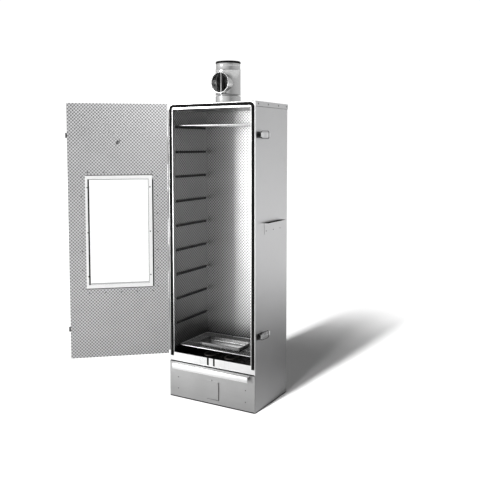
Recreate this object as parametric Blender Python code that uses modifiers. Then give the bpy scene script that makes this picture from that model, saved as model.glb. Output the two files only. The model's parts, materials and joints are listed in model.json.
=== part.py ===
"""Electric cabinet smoker: a tall insulated sheet-steel cabinet with a windowed door, ten shelf
levels, a chip drawer below and a flue tee on top. Metres, +Z up, the front faces -Y, and the
origin is the centre of the base's underside. The door stands open, as it does in use for loading.
"""

import math

import bmesh
import bpy
from mathutils import Matrix, Vector

# Driving dimensions
BODY_W, BODY_D, BODY_H = 0.500, 0.340, 1.500
SHEET = 0.0012
GAP = 0.0003
CHAMBER_W = 0.451
CHAMBER_BACK = 0.149
CHAMBER_FLOOR = 0.1905
CHAMBER_TOP = 1.4725
OPENING_BOTTOM = 0.2325
DRAWER_TOP = 0.1842
RAIL_LEVELS = 10
FIRST_RAIL_Z = 0.260
RAIL_PITCH = 0.1256
FLUE_D = 0.125
BRANCH_D = 0.100
BRANCH_Z = 1.603
HOOP_SIDES = 32

HALF_W, HALF_D = BODY_W / 2, BODY_D / 2
FRONT_Y = -HALF_D
HALF_CHAMBER = CHAMBER_W / 2

# The door, given where it lies when it is shut
DOOR_LEFT, DOOR_RIGHT = -HALF_W, 0.2415
DOOR_BOTTOM, DOOR_TOP = 0.223, 1.500
DOOR_INNER_Y, DOOR_OUTER_Y = -0.1750, -0.2050
DOOR_OPEN = math.radians(-139)
HINGE_PIN = Vector((-HALF_W - 0.0025, -0.1732, 0.0))
WINDOW_LEFT, WINDOW_RIGHT = DOOR_LEFT + 0.100, DOOR_LEFT + 0.388
WINDOW_BOTTOM, WINDOW_TOP = 0.597, 1.122
THERMOMETER_X, THERMOMETER_Z = DOOR_LEFT + 0.245, 1.309
LATCH_HEIGHTS = {"upper": 1.342, "lower": 0.372}

for leftover in list(bpy.data.objects):
    bpy.data.objects.remove(leftover, do_unlink=True)
smoker = bpy.data.collections.new("electric_cabinet_smoker")
cutters = bpy.data.collections.new("cutters")
bpy.context.scene.collection.children.link(smoker)
bpy.context.scene.collection.children.link(cutters)


def material(name, colour, roughness, metallic):
    made = bpy.data.materials.new(name)
    made.use_nodes = True
    shader = made.node_tree.nodes["Principled BSDF"]
    shader.inputs["Base Color"].default_value = (*colour, 1.0)
    shader.inputs["Roughness"].default_value = roughness
    shader.inputs["Metallic"].default_value = metallic
    return made


BRUSHED = material("brushed_stainless", (0.62, 0.62, 0.62), 0.35, 1.0)
STUCCO = material("embossed_stainless", (0.66, 0.66, 0.66), 0.30, 1.0)
BRIGHT = material("bright_wire", (0.75, 0.75, 0.75), 0.18, 1.0)
BLACK_STEEL = material("black_steel", (0.03, 0.03, 0.03), 0.45, 0.6)
SILICONE = material("black_silicone", (0.015, 0.015, 0.015), 0.6, 0.0)
WOOL = material("mineral_wool", (0.45, 0.42, 0.30), 0.95, 0.0)
GLASS = material("tempered_glass", (0.80, 0.84, 0.82), 0.03, 0.0)
ELEMENT = material("element_sheath", (0.10, 0.10, 0.10), 0.55, 0.8)
PLASTIC = material("black_plastic", (0.03, 0.03, 0.03), 0.5, 0.0)


# Modelling helpers


def add(name, mesh, finish, parent=None, group=smoker):
    """An object whose mesh holds shut-position coordinates. parent is a pivot empty or None."""
    obj = bpy.data.objects.new(name, mesh)
    group.objects.link(obj)
    if finish is not None:
        mesh.materials.append(finish)
    if parent is not None:
        obj.parent = parent
        obj.location = -Vector(parent["pivot"])
    if group is cutters:
        obj.hide_render = True
        obj.display_type = "WIRE"
    return obj


def pivot(name, place, turn=0.0, parent=None):
    """An empty on a joint's axis, turned about Z by turn. place is in shut-position coordinates."""
    empty = bpy.data.objects.new(name, None)
    smoker.objects.link(empty)
    empty["pivot"] = tuple(place)
    empty.location = Vector(place)
    if parent is not None:
        empty.parent = parent
        empty.location = Vector(place) - Vector(parent["pivot"])
    empty.rotation_euler = (0.0, 0.0, turn)
    return empty


def finished(bm, name):
    bmesh.ops.recalc_face_normals(bm, faces=bm.faces)
    mesh = bpy.data.meshes.new(name)
    bm.to_mesh(mesh)
    bm.free()
    return mesh


def smooth(obj, degrees=35):
    obj.data.shade_smooth()
    obj.data.set_sharp_from_angle(angle=math.radians(degrees))
    return obj


def cube_between(low, high):
    low, high = Vector(low), Vector(high)
    bm = bmesh.new()
    bmesh.ops.create_cube(bm, size=1.0)
    bmesh.ops.scale(bm, vec=high - low, verts=bm.verts)
    bmesh.ops.translate(bm, vec=(low + high) / 2, verts=bm.verts)
    return bm


def box(name, low, high, finish=None, parent=None, group=smoker, bevel=0.0):
    bm = cube_between(low, high)
    if bevel:
        bmesh.ops.bevel(
            bm, geom=bm.edges[:], offset=bevel, segments=1, profile=0.5, affect="EDGES", material=-1
        )
    return add(name, finished(bm, name), finish, parent, group)


def open_box(name, low, high, open_sides, finish, parent=None):
    """Sheet metal folded round a box, without the faces whose outward directions are given."""
    bm = cube_between(low, high)
    bm.normal_update()
    gone = [f for f in bm.faces if any(f.normal.dot(Vector(side)) > 0.9 for side in open_sides)]
    bmesh.ops.delete(bm, geom=gone, context="FACES")
    mesh = bpy.data.meshes.new(name)
    bm.to_mesh(mesh)
    bm.free()
    obj = add(name, mesh, finish, parent)
    wall = obj.modifiers.new("sheet", "SOLIDIFY")
    wall.thickness = SHEET
    wall.offset = -1.0
    wall.use_even_offset = True
    return obj


def bent_sheet(name, path, low, high, along, finish, parent=None, bend=0.0, thickness=SHEET):
    """A strip that follows path, the middle of the sheet, and runs from low to high along an axis.
    path holds the two other coordinates in axis order."""
    bm = bmesh.new()
    others = [i for i in range(3) if i != along]
    row = []
    for a, b in path:
        at = Vector((0.0, 0.0, 0.0))
        at[others[0]], at[others[1]], at[along] = a, b, low
        row.append(bm.verts.new(at))
    edges = [bm.edges.new(pair) for pair in zip(row, row[1:])]
    swept = bmesh.ops.extrude_edge_only(bm, edges=edges)
    far = [v for v in swept["geom"] if isinstance(v, bmesh.types.BMVert)]
    step = Vector((0.0, 0.0, 0.0))
    step[along] = high - low
    bmesh.ops.translate(bm, vec=step, verts=far)
    if bend:
        folds = [e for e in bm.edges if len(e.link_faces) == 2]
        bmesh.ops.bevel(
            bm, geom=folds, offset=bend, segments=3, profile=0.5, affect="EDGES", material=-1
        )
    mesh = bpy.data.meshes.new(name)
    bm.to_mesh(mesh)
    bm.free()
    obj = add(name, mesh, finish, parent)
    wall = obj.modifiers.new("sheet", "SOLIDIFY")
    wall.thickness = thickness
    wall.offset = 0.0
    wall.use_even_offset = True
    return obj


def rod(name, start, end, radius, finish=None, parent=None, group=smoker, sides=16):
    """A round bar between two points, with a flat of its many sides facing each axis."""
    start, end = Vector(start), Vector(end)
    bm = bmesh.new()
    bmesh.ops.create_cone(
        bm, cap_ends=True, segments=sides, radius1=radius, radius2=radius, depth=(end - start).length
    )
    half_side = Matrix.Rotation(math.pi / sides, 3, "Z")
    bmesh.ops.rotate(bm, matrix=half_side, verts=bm.verts)
    turn = Vector((0, 0, 1)).rotation_difference(end - start).to_matrix().to_4x4()
    bmesh.ops.transform(bm, matrix=Matrix.Translation((start + end) / 2) @ turn, verts=bm.verts)
    return smooth(add(name, finished(bm, name), finish, parent, group))


def turned(name, profile, finish=None, place=(0, 0, 0), axis=(0, 0, 1), parent=None, group=smoker):
    """A closed (radius, height) outline spun round an axis through place. An outline that starts
    and ends on the axis closes through its poles."""
    bm = bmesh.new()
    ring = [bm.verts.new((r, 0.0, h)) for r, h in profile]
    closed = profile[0][0] > 0.0
    loop = [bm.edges.new((a, b)) for a, b in zip(ring, ring[1:] + ring[:1] * closed)]
    bmesh.ops.spin(
        bm,
        geom=ring + loop,
        cent=(0, 0, 0),
        axis=(0, 0, 1),
        angle=math.tau,
        steps=HOOP_SIDES,
        use_merge=True,
    )
    bmesh.ops.remove_doubles(bm, verts=bm.verts, dist=1e-5)
    half_side = Matrix.Rotation(math.pi / HOOP_SIDES, 3, "Z")
    bmesh.ops.rotate(bm, matrix=half_side, verts=bm.verts)
    turn = Vector((0, 0, 1)).rotation_difference(Vector(axis)).to_matrix().to_4x4()
    bmesh.ops.transform(bm, matrix=Matrix.Translation(Vector(place)) @ turn, verts=bm.verts)
    return smooth(add(name, finished(bm, name), finish, parent, group))


def plate(name, outlines, middle, thickness, facing, finish=None, parent=None, group=smoker):
    """A flat piece from closed outlines, the first outside and the rest holes. facing is the axis
    of its thickness, and an outline's points hold the two other coordinates in axis order."""
    curve = bpy.data.curves.new(name, "CURVE")
    curve.dimensions = "2D"
    curve.fill_mode = "BOTH"
    curve.extrude = thickness / 2
    for outline in outlines:
        spline = curve.splines.new("POLY")
        spline.points.add(len(outline) - 1)
        for point, (a, b) in zip(spline.points, outline):
            point.co = (a, b, 0.0, 1.0)
        spline.use_cyclic_u = True
    drawn = bpy.data.objects.new(name + "_outline", curve)
    cutters.objects.link(drawn)
    bpy.context.view_layer.update()
    mesh = bpy.data.meshes.new_from_object(drawn.evaluated_get(bpy.context.evaluated_depsgraph_get()))
    bpy.data.objects.remove(drawn)
    bm = bmesh.new()
    bm.from_mesh(mesh)
    bmesh.ops.remove_doubles(bm, verts=bm.verts, dist=1e-6)
    columns = [i for i in range(3) if i != facing] + [facing]
    stand = Matrix([[1.0 if columns[c] == r else 0.0 for c in range(3)] for r in range(3)]).to_4x4()
    bmesh.ops.transform(bm, matrix=stand, verts=bm.verts)
    step = Vector((0.0, 0.0, 0.0))
    step[facing] = middle
    bmesh.ops.translate(bm, vec=step, verts=bm.verts)
    return add(name, finished(bm, name), finish, parent, group)


def rectangle(left, right, bottom, top):
    return [(left, bottom), (right, bottom), (right, top), (left, top)]


def arc(centre, radius, start, end, steps=5):
    """Points along a circle's arc. The angles are in degrees."""
    turns = [math.radians(start + (end - start) * i / steps) for i in range(steps + 1)]
    return [(centre[0] + radius * math.cos(t), centre[1] + radius * math.sin(t)) for t in turns]


def cut(obj, tool):
    hole = obj.modifiers.new("cut", "BOOLEAN")
    hole.operation = "DIFFERENCE"
    hole.object = tool


def join(obj, tool):
    weld = obj.modifiers.new("join", "BOOLEAN")
    weld.operation = "UNION"
    weld.object = tool


# Cabinet: shell, cover, base, liner, insulation and the front frame

outer_shell = bent_sheet(
    "outer_shell",
    [
        (-HALF_W + SHEET / 2, FRONT_Y),
        (-HALF_W + SHEET / 2, HALF_D - SHEET / 2),
        (HALF_W - SHEET / 2, HALF_D - SHEET / 2),
        (HALF_W - SHEET / 2, FRONT_Y),
    ],
    0.0,
    BODY_H - SHEET - GAP,
    2,
    BRUSHED,
    bend=0.0014,
)

SKIRT_BOTTOM = 1.476
COVER_X = HALF_W + GAP + SHEET
top_cover = open_box(
    "top_cover",
    (-COVER_X, FRONT_Y, SKIRT_BOTTOM),
    (COVER_X, HALF_D + GAP + SHEET, BODY_H),
    [(0, -1, 0), (0, 0, -1)],
    BRUSHED,
)

INSIDE_SHELL = HALF_W - SHEET - GAP
BASE_LIP = 0.020
base_plate = open_box(
    "base_plate",
    (-INSIDE_SHELL, FRONT_Y + GAP, 0.0),
    (INSIDE_SHELL, HALF_D - SHEET - GAP, BASE_LIP),
    [(0, -1, 0), (0, 0, 1)],
    BRUSHED,
)

inner_liner = open_box(
    "inner_liner",
    (-HALF_CHAMBER - SHEET, FRONT_Y + SHEET + GAP, CHAMBER_FLOOR),
    (HALF_CHAMBER + SHEET, CHAMBER_BACK + SHEET, CHAMBER_TOP + SHEET),
    [(0, -1, 0)],
    STUCCO,
)
SMOKE_SLOTS = 6
SLOT_PITCH, SLOT_HALF_L, SLOT_HALF_W = 0.034, 0.120, 0.006
for i in range(SMOKE_SLOTS):
    slot_y = (i - (SMOKE_SLOTS - 1) / 2) * SLOT_PITCH
    slot = box(
        f"smoke_slot_{i + 1}",
        (-SLOT_HALF_L, slot_y - SLOT_HALF_W, CHAMBER_FLOOR - 0.01),
        (SLOT_HALF_L, slot_y + SLOT_HALF_W, CHAMBER_FLOOR + 0.01),
        group=cutters,
    )
    cut(inner_liner, slot)

LINER_OUT = HALF_CHAMBER + SHEET + GAP
cabinet_insulation = box(
    "cabinet_insulation",
    (-INSIDE_SHELL, FRONT_Y + SHEET + GAP, CHAMBER_FLOOR + SHEET + GAP),
    (INSIDE_SHELL, HALF_D - SHEET - GAP, BODY_H - SHEET - 2 * GAP),
    WOOL,
)
liner_space = box(
    "liner_space",
    (-LINER_OUT, FRONT_Y - 0.01, 0.0),
    (LINER_OUT, CHAMBER_BACK + SHEET + GAP, CHAMBER_TOP + SHEET + GAP),
    group=cutters,
)
cut(cabinet_insulation, liner_space)

FLUE_HOLE = 0.052
flue_hole = rod("flue_hole", (0, 0, 1.40), (0, 0, 1.55), FLUE_HOLE, group=cutters, sides=HOOP_SIDES)
cut(top_cover, flue_hole)
cut(inner_liner, flue_hole)
cut(cabinet_insulation, flue_hole)

FRAME_BOTTOM, FRAME_TOP = 0.187, 1.498
SLOT_BOTTOM = 0.195
frame_opening = [
    (-HALF_CHAMBER, OPENING_BOTTOM),
    (-0.026, OPENING_BOTTOM),
    (-0.026, SLOT_BOTTOM),
    (-0.015, SLOT_BOTTOM),
    (-0.015, OPENING_BOTTOM),
    (0.010, OPENING_BOTTOM),
    (0.010, SLOT_BOTTOM),
    (0.020, SLOT_BOTTOM),
    (0.020, OPENING_BOTTOM),
    (HALF_CHAMBER, OPENING_BOTTOM),
    (HALF_CHAMBER, CHAMBER_TOP),
    (-HALF_CHAMBER, CHAMBER_TOP),
]
front_frame = plate(
    "front_frame",
    [rectangle(-INSIDE_SHELL, INSIDE_SHELL, FRAME_BOTTOM, FRAME_TOP), frame_opening],
    FRONT_Y + SHEET / 2,
    SHEET,
    1,
    BRUSHED,
)

# Door seal: one strip of silicone up both sides and over the top
SEAL_W, SEAL_T = 0.010, 0.0042
SEAL_X, SEAL_TOP, SEAL_BOTTOM, SEAL_CORNER = 0.2378, 1.489, 0.215, 0.018


def seal_edge(offset):
    """The strip's edge, offset from its middle line, from the lower left over the top."""
    x, top, radius = SEAL_X + offset, SEAL_TOP + offset, SEAL_CORNER + offset
    over_left = arc((-x + radius, top - radius), radius, 180, 90)
    over_right = arc((x - radius, top - radius), radius, 90, 0)
    return [(-x, SEAL_BOTTOM), *over_left, *over_right, (x, SEAL_BOTTOM)]


door_gasket = plate(
    "door_gasket",
    [seal_edge(SEAL_W / 2) + seal_edge(-SEAL_W / 2)[::-1]],
    FRONT_Y - GAP - SEAL_T / 2,
    SEAL_T,
    1,
    SILICONE,
)

# Shelf rails: ten pairs of L angles on the liner's side walls
RAIL_LEG = 0.012
RAIL_FRONT, RAIL_BACK = -0.145, 0.135
for level in range(RAIL_LEVELS):
    z = FIRST_RAIL_Z + level * RAIL_PITCH
    for side, sign in (("left", -1), ("right", 1)):
        wall, tip = sign * (HALF_CHAMBER - GAP), sign * (HALF_CHAMBER - GAP - RAIL_LEG)
        heel = wall - sign * SHEET
        angle = [(wall, z - RAIL_LEG), (wall, z), (tip, z), (tip, z - SHEET), (heel, z - SHEET)]
        plate(
            f"rail_{side}_{level + 1}",
            [angle + [(heel, z - RAIL_LEG)]],
            (RAIL_FRONT + RAIL_BACK) / 2,
            RAIL_BACK - RAIL_FRONT,
            1,
            BRUSHED,
        )

# Wire racks on the lowest and highest rails, and a drip tray on the lower rack
RACK_X, RACK_FRONT, RACK_BACK = 0.2225, -0.132, 0.138
RACK_T, RACK_RIM, WIRE_T, WIRE_PITCH = 0.0044, 0.005, 0.0034, 0.0106
bays = int((RACK_X - RACK_RIM) // WIRE_PITCH)
for name, level in (("rack_bottom", 0), ("rack_top", RAIL_LEVELS - 1)):
    rest_z = FIRST_RAIL_Z + level * RAIL_PITCH + GAP
    gaps = []
    for i in range(-bays, bays):
        left = i * WIRE_PITCH + WIRE_T / 2
        right = left + WIRE_PITCH - WIRE_T
        gaps.append(rectangle(left, right, RACK_FRONT + RACK_RIM, RACK_BACK - RACK_RIM))
    plate(
        name,
        [rectangle(-RACK_X, RACK_X, RACK_FRONT, RACK_BACK), *gaps],
        rest_z + RACK_T / 2,
        RACK_T,
        2,
        BRIGHT,
        parent=pivot(name + "_slide", (0.0, RACK_FRONT, rest_z)),
    )

TRAY_FLOOR = FIRST_RAIL_Z + GAP + RACK_T + GAP
open_box(
    "drip_tray",
    (-0.117, -0.102, TRAY_FLOOR),
    (0.124, 0.012, TRAY_FLOOR + 0.0205),
    [(0, 0, 1)],
    BRUSHED,
    parent=pivot("drip_tray_lift", (0.0035, -0.045, TRAY_FLOOR)),
)

# Flue: a flange with a socket, the tee, its lip seal and the damper in its branch
FLANGE_HALF, FLANGE_BOTTOM, FLANGE_TOP = 0.0825, BODY_H + GAP, BODY_H + 0.0045
SOCKET_R, SOCKET_TOP = 0.0632, 1.538
flue_flange = box(
    "flue_flange",
    (-FLANGE_HALF, -FLANGE_HALF, FLANGE_BOTTOM),
    (FLANGE_HALF, FLANGE_HALF, FLANGE_TOP),
    BRUSHED,
)
flue_socket = rod(
    "flue_socket",
    (0, 0, FLANGE_TOP - 0.001),
    (0, 0, SOCKET_TOP),
    SOCKET_R,
    group=cutters,
    sides=HOOP_SIDES,
)
flue_socket_bore = rod(
    "flue_socket_bore",
    (0, 0, 1.48),
    (0, 0, 1.56),
    SOCKET_R - SHEET,
    group=cutters,
    sides=HOOP_SIDES,
)
join(flue_flange, flue_socket)
cut(flue_flange, flue_socket_bore)

TEE_BOTTOM, TEE_TOP = 1.508, 1.712
SPIGOT_R, TEE_R, BEAD_R = 0.0605, FLUE_D / 2, FLUE_D / 2 + 0.0018
LOWER_BEAD, UPPER_BEAD, BEAD_HALF = 1.547, 1.669, 0.003
tee_outline = [(0.0, TEE_BOTTOM), (SPIGOT_R, TEE_BOTTOM), (SPIGOT_R, LOWER_BEAD - 0.007)]
tee_outline += [(TEE_R, LOWER_BEAD - BEAD_HALF), (BEAD_R, LOWER_BEAD)]
tee_outline += [(TEE_R, LOWER_BEAD + BEAD_HALF), (TEE_R, UPPER_BEAD - BEAD_HALF)]
tee_outline += [(BEAD_R, UPPER_BEAD), (TEE_R, UPPER_BEAD + BEAD_HALF)]
tee_outline += [(SPIGOT_R, UPPER_BEAD + 0.007), (SPIGOT_R, TEE_TOP), (0.0, TEE_TOP)]
flue_tee = turned("flue_tee", tee_outline, BRUSHED)

BRANCH_R, BRANCH_MOUTH, BRANCH_LIP = BRANCH_D / 2, -0.082, 0.0022
branch_outline = [(0.0, 0.0), (BRANCH_R, 0.0), (BRANCH_R, -BRANCH_MOUTH - 0.006)]
branch_outline += [(BRANCH_R + BRANCH_LIP, -BRANCH_MOUTH - 0.004)]
branch_outline += [(BRANCH_R + BRANCH_LIP, -BRANCH_MOUTH - 0.001), (BRANCH_R, -BRANCH_MOUTH)]
branch_outline += [(0.0, -BRANCH_MOUTH)]
branch = turned(
    "branch_outside", branch_outline, place=(0, 0, BRANCH_Z), axis=(0, -1, 0), group=cutters
)
join(flue_tee, branch)
AXLE_Y, AXLE_R, AXLE_HALF, BLADE_R = -0.070, 0.004, 0.055, 0.0462
axle_low, axle_high = (0, AXLE_Y, BRANCH_Z - AXLE_HALF), (0, AXLE_Y, BRANCH_Z + AXLE_HALF)
for name, start, end, radius, sides in (
    ("tee_bore", (0, 0, 1.45), (0, 0, 1.75), SPIGOT_R - SHEET, HOOP_SIDES),
    ("axle_clearance", axle_low, axle_high, AXLE_R + 0.0004, 12),
    ("branch_bore", (0, 0, BRANCH_Z), (0, -0.12, BRANCH_Z), BRANCH_R - SHEET, HOOP_SIDES),
):
    cut(flue_tee, rod(name, start, end, radius, group=cutters, sides=sides))

SEAL_RING_R, SEAL_RING_BOTTOM, SEAL_RING_TOP = 0.063, 1.701, 1.711
ring_in = SPIGOT_R + GAP
ring_outline = [(ring_in, SEAL_RING_BOTTOM), (SEAL_RING_R, SEAL_RING_BOTTOM + 0.002)]
ring_outline += [(SEAL_RING_R, SEAL_RING_TOP - 0.002), (ring_in, SEAL_RING_TOP)]
turned("flue_seal", ring_outline, SILICONE)

damper_pivot = pivot("damper_pivot", (0.0, AXLE_Y, BRANCH_Z))
damper_blade = rod(
    "damper_blade",
    (-0.0008, AXLE_Y, BRANCH_Z),
    (0.0008, AXLE_Y, BRANCH_Z),
    BLADE_R,
    BRUSHED,
    parent=damper_pivot,
    sides=HOOP_SIDES,
)
damper_axle = rod(
    "damper_axle",
    axle_low,
    axle_high,
    AXLE_R,
    parent=damper_pivot,
    group=cutters,
    sides=12,
)
join(damper_blade, damper_axle)

# Carrying ledges riveted to both sides
LEDGE_FRONT, LEDGE_BACK, LEDGE_Z, LEDGE_DROP, LEDGE_OUT = -0.081, 0.106, 0.9165, 0.0555, 0.024
for side, sign in (("left", -1), ("right", 1)):
    flange_x = sign * (HALF_W + GAP + SHEET / 2)
    ledge_path = [(flange_x, LEDGE_Z - LEDGE_DROP), (flange_x, LEDGE_Z)]
    bent_sheet(
        f"side_handle_{side}",
        [*ledge_path, (sign * (HALF_W + LEDGE_OUT), LEDGE_Z)],
        LEDGE_FRONT,
        LEDGE_BACK,
        1,
        BRUSHED,
        bend=0.002,
    )

# Heating element: a sheathed loop over the chamber floor, on a flange at the back wall
ELEMENT_Z, ELEMENT_R = 0.222, 0.004
element_back = CHAMBER_BACK - GAP
half_pass, bend_r = 0.030, 0.030
turns = [(-3 * half_pass, element_back - 0.002), (-3 * half_pass, -0.080)]
turns += arc((-2 * half_pass, -0.080), bend_r, 180, 360, 8)
turns += arc((0.0, 0.080), bend_r, 180, 0, 8)
turns += arc((2 * half_pass, -0.080), bend_r, 180, 360, 8)
turns += [(3 * half_pass, element_back - 0.002)]
wire = bpy.data.curves.new("element_path", "CURVE")
wire.dimensions = "3D"
wire.bevel_depth = ELEMENT_R
wire.bevel_resolution = 2
wire.use_fill_caps = True
run = wire.splines.new("POLY")
run.points.add(len(turns) - 1)
for point, (x, y) in zip(run.points, turns):
    point.co = (x, y, ELEMENT_Z, 1.0)


def solid_of_curve(curve, name):
    """The curve's closed mesh, with its caps welded on."""
    drawn = bpy.data.objects.new(name + "_curve", curve)
    cutters.objects.link(drawn)
    bpy.context.view_layer.update()
    mesh = bpy.data.meshes.new_from_object(drawn.evaluated_get(bpy.context.evaluated_depsgraph_get()))
    bpy.data.objects.remove(drawn)
    bm = bmesh.new()
    bm.from_mesh(mesh)
    bmesh.ops.remove_doubles(bm, verts=bm.verts, dist=1e-6)
    return finished(bm, name)


heating_element = smooth(add("heating_element", solid_of_curve(wire, "heating_element"), ELEMENT))
element_flange = box(
    "element_flange",
    (-0.105, element_back - 0.003, ELEMENT_Z - 0.014),
    (0.105, element_back, ELEMENT_Z + 0.014),
    group=cutters,
)
join(heating_element, element_flange)

# Mains inlet: a moulded socket box on the back, over the element's terminals
INLET_BACK, INLET_HALF, INLET_DEPTH, INLET_BOTTOM, INLET_TOP = HALF_D + GAP, 0.060, 0.034, 0.205, 0.285
power_inlet = box(
    "power_inlet",
    (-INLET_HALF, INLET_BACK, INLET_BOTTOM),
    (INLET_HALF, INLET_BACK + INLET_DEPTH, INLET_TOP),
    PLASTIC,
    bevel=0.003,
)
socket_recess = box(
    "socket_recess",
    (-0.014, INLET_BACK + 0.018, 0.234),
    (0.014, INLET_BACK + 0.050, 0.256),
    group=cutters,
)
cut(power_inlet, socket_recess)
for i, pin_x in enumerate((-0.007, 0.0, 0.007)):
    pin = box(
        f"inlet_pin_{i + 1}",
        (pin_x - 0.001, INLET_BACK + 0.016, 0.243),
        (pin_x + 0.001, INLET_BACK + 0.030, 0.247),
        group=cutters,
    )
    join(power_inlet, pin)

# Drawer: folded front with its pull strip, box, chip pan and the air-inlet cover
drawer_slide = pivot("drawer_slide", (0.0, FRONT_Y, 0.0))
DRAWER_FACE = FRONT_Y - GAP - 0.0037
drawer_front = open_box(
    "drawer_front",
    (-HALF_W + 0.0005, DRAWER_FACE, 0.0015),
    (HALF_W - 0.0005, FRONT_Y - GAP, DRAWER_TOP),
    [(0, 1, 0)],
    BRUSHED,
    parent=drawer_slide,
)
PULL_HALF, PULL_OUT, LIP_BOTTOM, PULL_TOP = 0.221, 0.021, 0.158, 0.1795
pull_root = DRAWER_FACE + SHEET / 2
pull_path = [(pull_root, LIP_BOTTOM + 0.004), (pull_root, PULL_TOP)]
pull_path += [(DRAWER_FACE - PULL_OUT, PULL_TOP), (DRAWER_FACE - PULL_OUT, LIP_BOTTOM)]
drawer_pull = bent_sheet(
    "drawer_pull", pull_path, -PULL_HALF, PULL_HALF, 0, None, parent=drawer_slide, bend=0.002
)
drawer_pull.hide_render = True
drawer_pull.display_type = "WIRE"
join(drawer_front, drawer_pull)

BOX_HALF, BOX_BACK, BOX_FLOOR, BOX_TOP = 0.2300, 0.150, 0.006, 0.140
drawer_box = open_box(
    "drawer_box",
    (-BOX_HALF, FRONT_Y, BOX_FLOOR),
    (BOX_HALF, BOX_BACK, BOX_TOP),
    [(0, 0, 1)],
    BRUSHED,
    parent=drawer_slide,
)
open_box(
    "chip_pan",
    (-0.150, -0.110, BOX_FLOOR + SHEET + GAP),
    (0.150, 0.110, 0.062),
    [(0, 0, 1)],
    BLACK_STEEL,
    parent=drawer_slide,
)
vent_hole = box(
    "vent_hole", (-0.018, -0.20, 0.036), (0.026, -0.15, 0.100), parent=drawer_slide, group=cutters
)
cut(drawer_front, vent_hole)
cut(drawer_box, vent_hole)

VENT_PIN = Vector((0.038, DRAWER_FACE, 0.112))
vent_pivot = pivot("vent_pivot", VENT_PIN, parent=drawer_slide)
VENT_T = 0.0015
vent_face = DRAWER_FACE - GAP - VENT_T / 2
vent_cover = plate(
    "vent_cover",
    [rectangle(-0.027, 0.046, 0.027, 0.121)],
    vent_face,
    VENT_T,
    1,
    BRUSHED,
    parent=vent_pivot,
)
PIN_R, PIN_HEAD_R = 0.002, 0.004
head_y = vent_face - VENT_T / 2 - 0.0015
for name, start_y, end_y, radius in (
    ("vent_pin_shank", head_y + 0.0002, DRAWER_FACE + SHEET + 0.001, PIN_R),
    ("vent_pin_head", head_y, vent_face, PIN_HEAD_R),
):
    shank = rod(
        name,
        (VENT_PIN.x, start_y, VENT_PIN.z),
        (VENT_PIN.x, end_y, VENT_PIN.z),
        radius,
        parent=vent_pivot,
        group=cutters,
        sides=12,
    )
    join(vent_cover, shank)
vent_pin_clearance = rod(
    "vent_pin_clearance",
    (VENT_PIN.x, -0.19, VENT_PIN.z),
    (VENT_PIN.x, -0.1705, VENT_PIN.z),
    PIN_R + 0.0004,
    parent=drawer_slide,
    group=cutters,
    sides=12,
)
cut(drawer_front, vent_pin_clearance)

# Door: outer skin, liner and insulation round the window, all hung on one long hinge
door_hinge = pivot("door_hinge", HINGE_PIN, DOOR_OPEN)
SKIN_RIM = DOOR_INNER_Y - SHEET - GAP
door_skin = open_box(
    "door_skin",
    (DOOR_LEFT, DOOR_OUTER_Y, DOOR_BOTTOM),
    (DOOR_RIGHT, SKIN_RIM, DOOR_TOP),
    [(0, 1, 0)],
    BRUSHED,
    parent=door_hinge,
)
GLASS_LAP, GLASS_T = 0.007, 0.004
window = (WINDOW_LEFT, WINDOW_RIGHT, WINDOW_BOTTOM, WINDOW_TOP)


def grown(sides, by):
    left, right, bottom, top = sides
    return rectangle(left - by, right + by, bottom - by, top + by)


door_liner = plate(
    "door_liner",
    [
        rectangle(DOOR_LEFT, DOOR_RIGHT, DOOR_BOTTOM, DOOR_TOP),
        grown(window, GLASS_LAP + 0.0005),
    ],
    DOOR_INNER_Y - SHEET / 2,
    SHEET,
    1,
    STUCCO,
    parent=door_hinge,
)
inset = SHEET + GAP
REVEAL_END = DOOR_INNER_Y - GLASS_T - 2 * GAP
door_insulation = box(
    "door_insulation",
    (DOOR_LEFT + inset, DOOR_OUTER_Y + inset, DOOR_BOTTOM + inset),
    (DOOR_RIGHT - inset, REVEAL_END, DOOR_TOP - inset),
    WOOL,
    parent=door_hinge,
)
window_cut = box(
    "window_cut",
    (WINDOW_LEFT - inset, -0.22, WINDOW_BOTTOM - inset),
    (WINDOW_RIGHT + inset, -0.1778, WINDOW_TOP + inset),
    parent=door_hinge,
    group=cutters,
)
cut(door_skin, window_cut)
cut(door_insulation, window_cut)
window_glass = plate(
    "window_glass",
    [grown(window, GLASS_LAP)],
    DOOR_INNER_Y - GAP - GLASS_T / 2 + 0.0001,
    GLASS_T,
    1,
    GLASS,
    parent=door_hinge,
)
STRIP_W, STRIP_LEG = 0.021, 0.010
for name, strip_low, strip_high, leg_low, leg_high in (
    (
        "window_frame_inner",
        DOOR_INNER_Y + GAP,
        DOOR_INNER_Y + GAP + SHEET,
        DOOR_INNER_Y + GAP,
        DOOR_INNER_Y + GAP + STRIP_LEG,
    ),
    (
        "window_frame_outer",
        DOOR_OUTER_Y - GAP - SHEET,
        DOOR_OUTER_Y - GAP,
        DOOR_OUTER_Y - GAP - SHEET,
        REVEAL_END,
    ),
):
    strip = plate(
        name,
        [grown(window, STRIP_W), grown(window, 0.0)],
        (strip_low + strip_high) / 2,
        strip_high - strip_low,
        1,
        BRUSHED,
        parent=door_hinge,
    )
    leg = plate(
        name + "_leg",
        [grown(window, SHEET), grown(window, 0.0)],
        (leg_low + leg_high) / 2,
        leg_high - leg_low,
        1,
        parent=door_hinge,
        group=cutters,
    )
    join(strip, leg)

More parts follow.
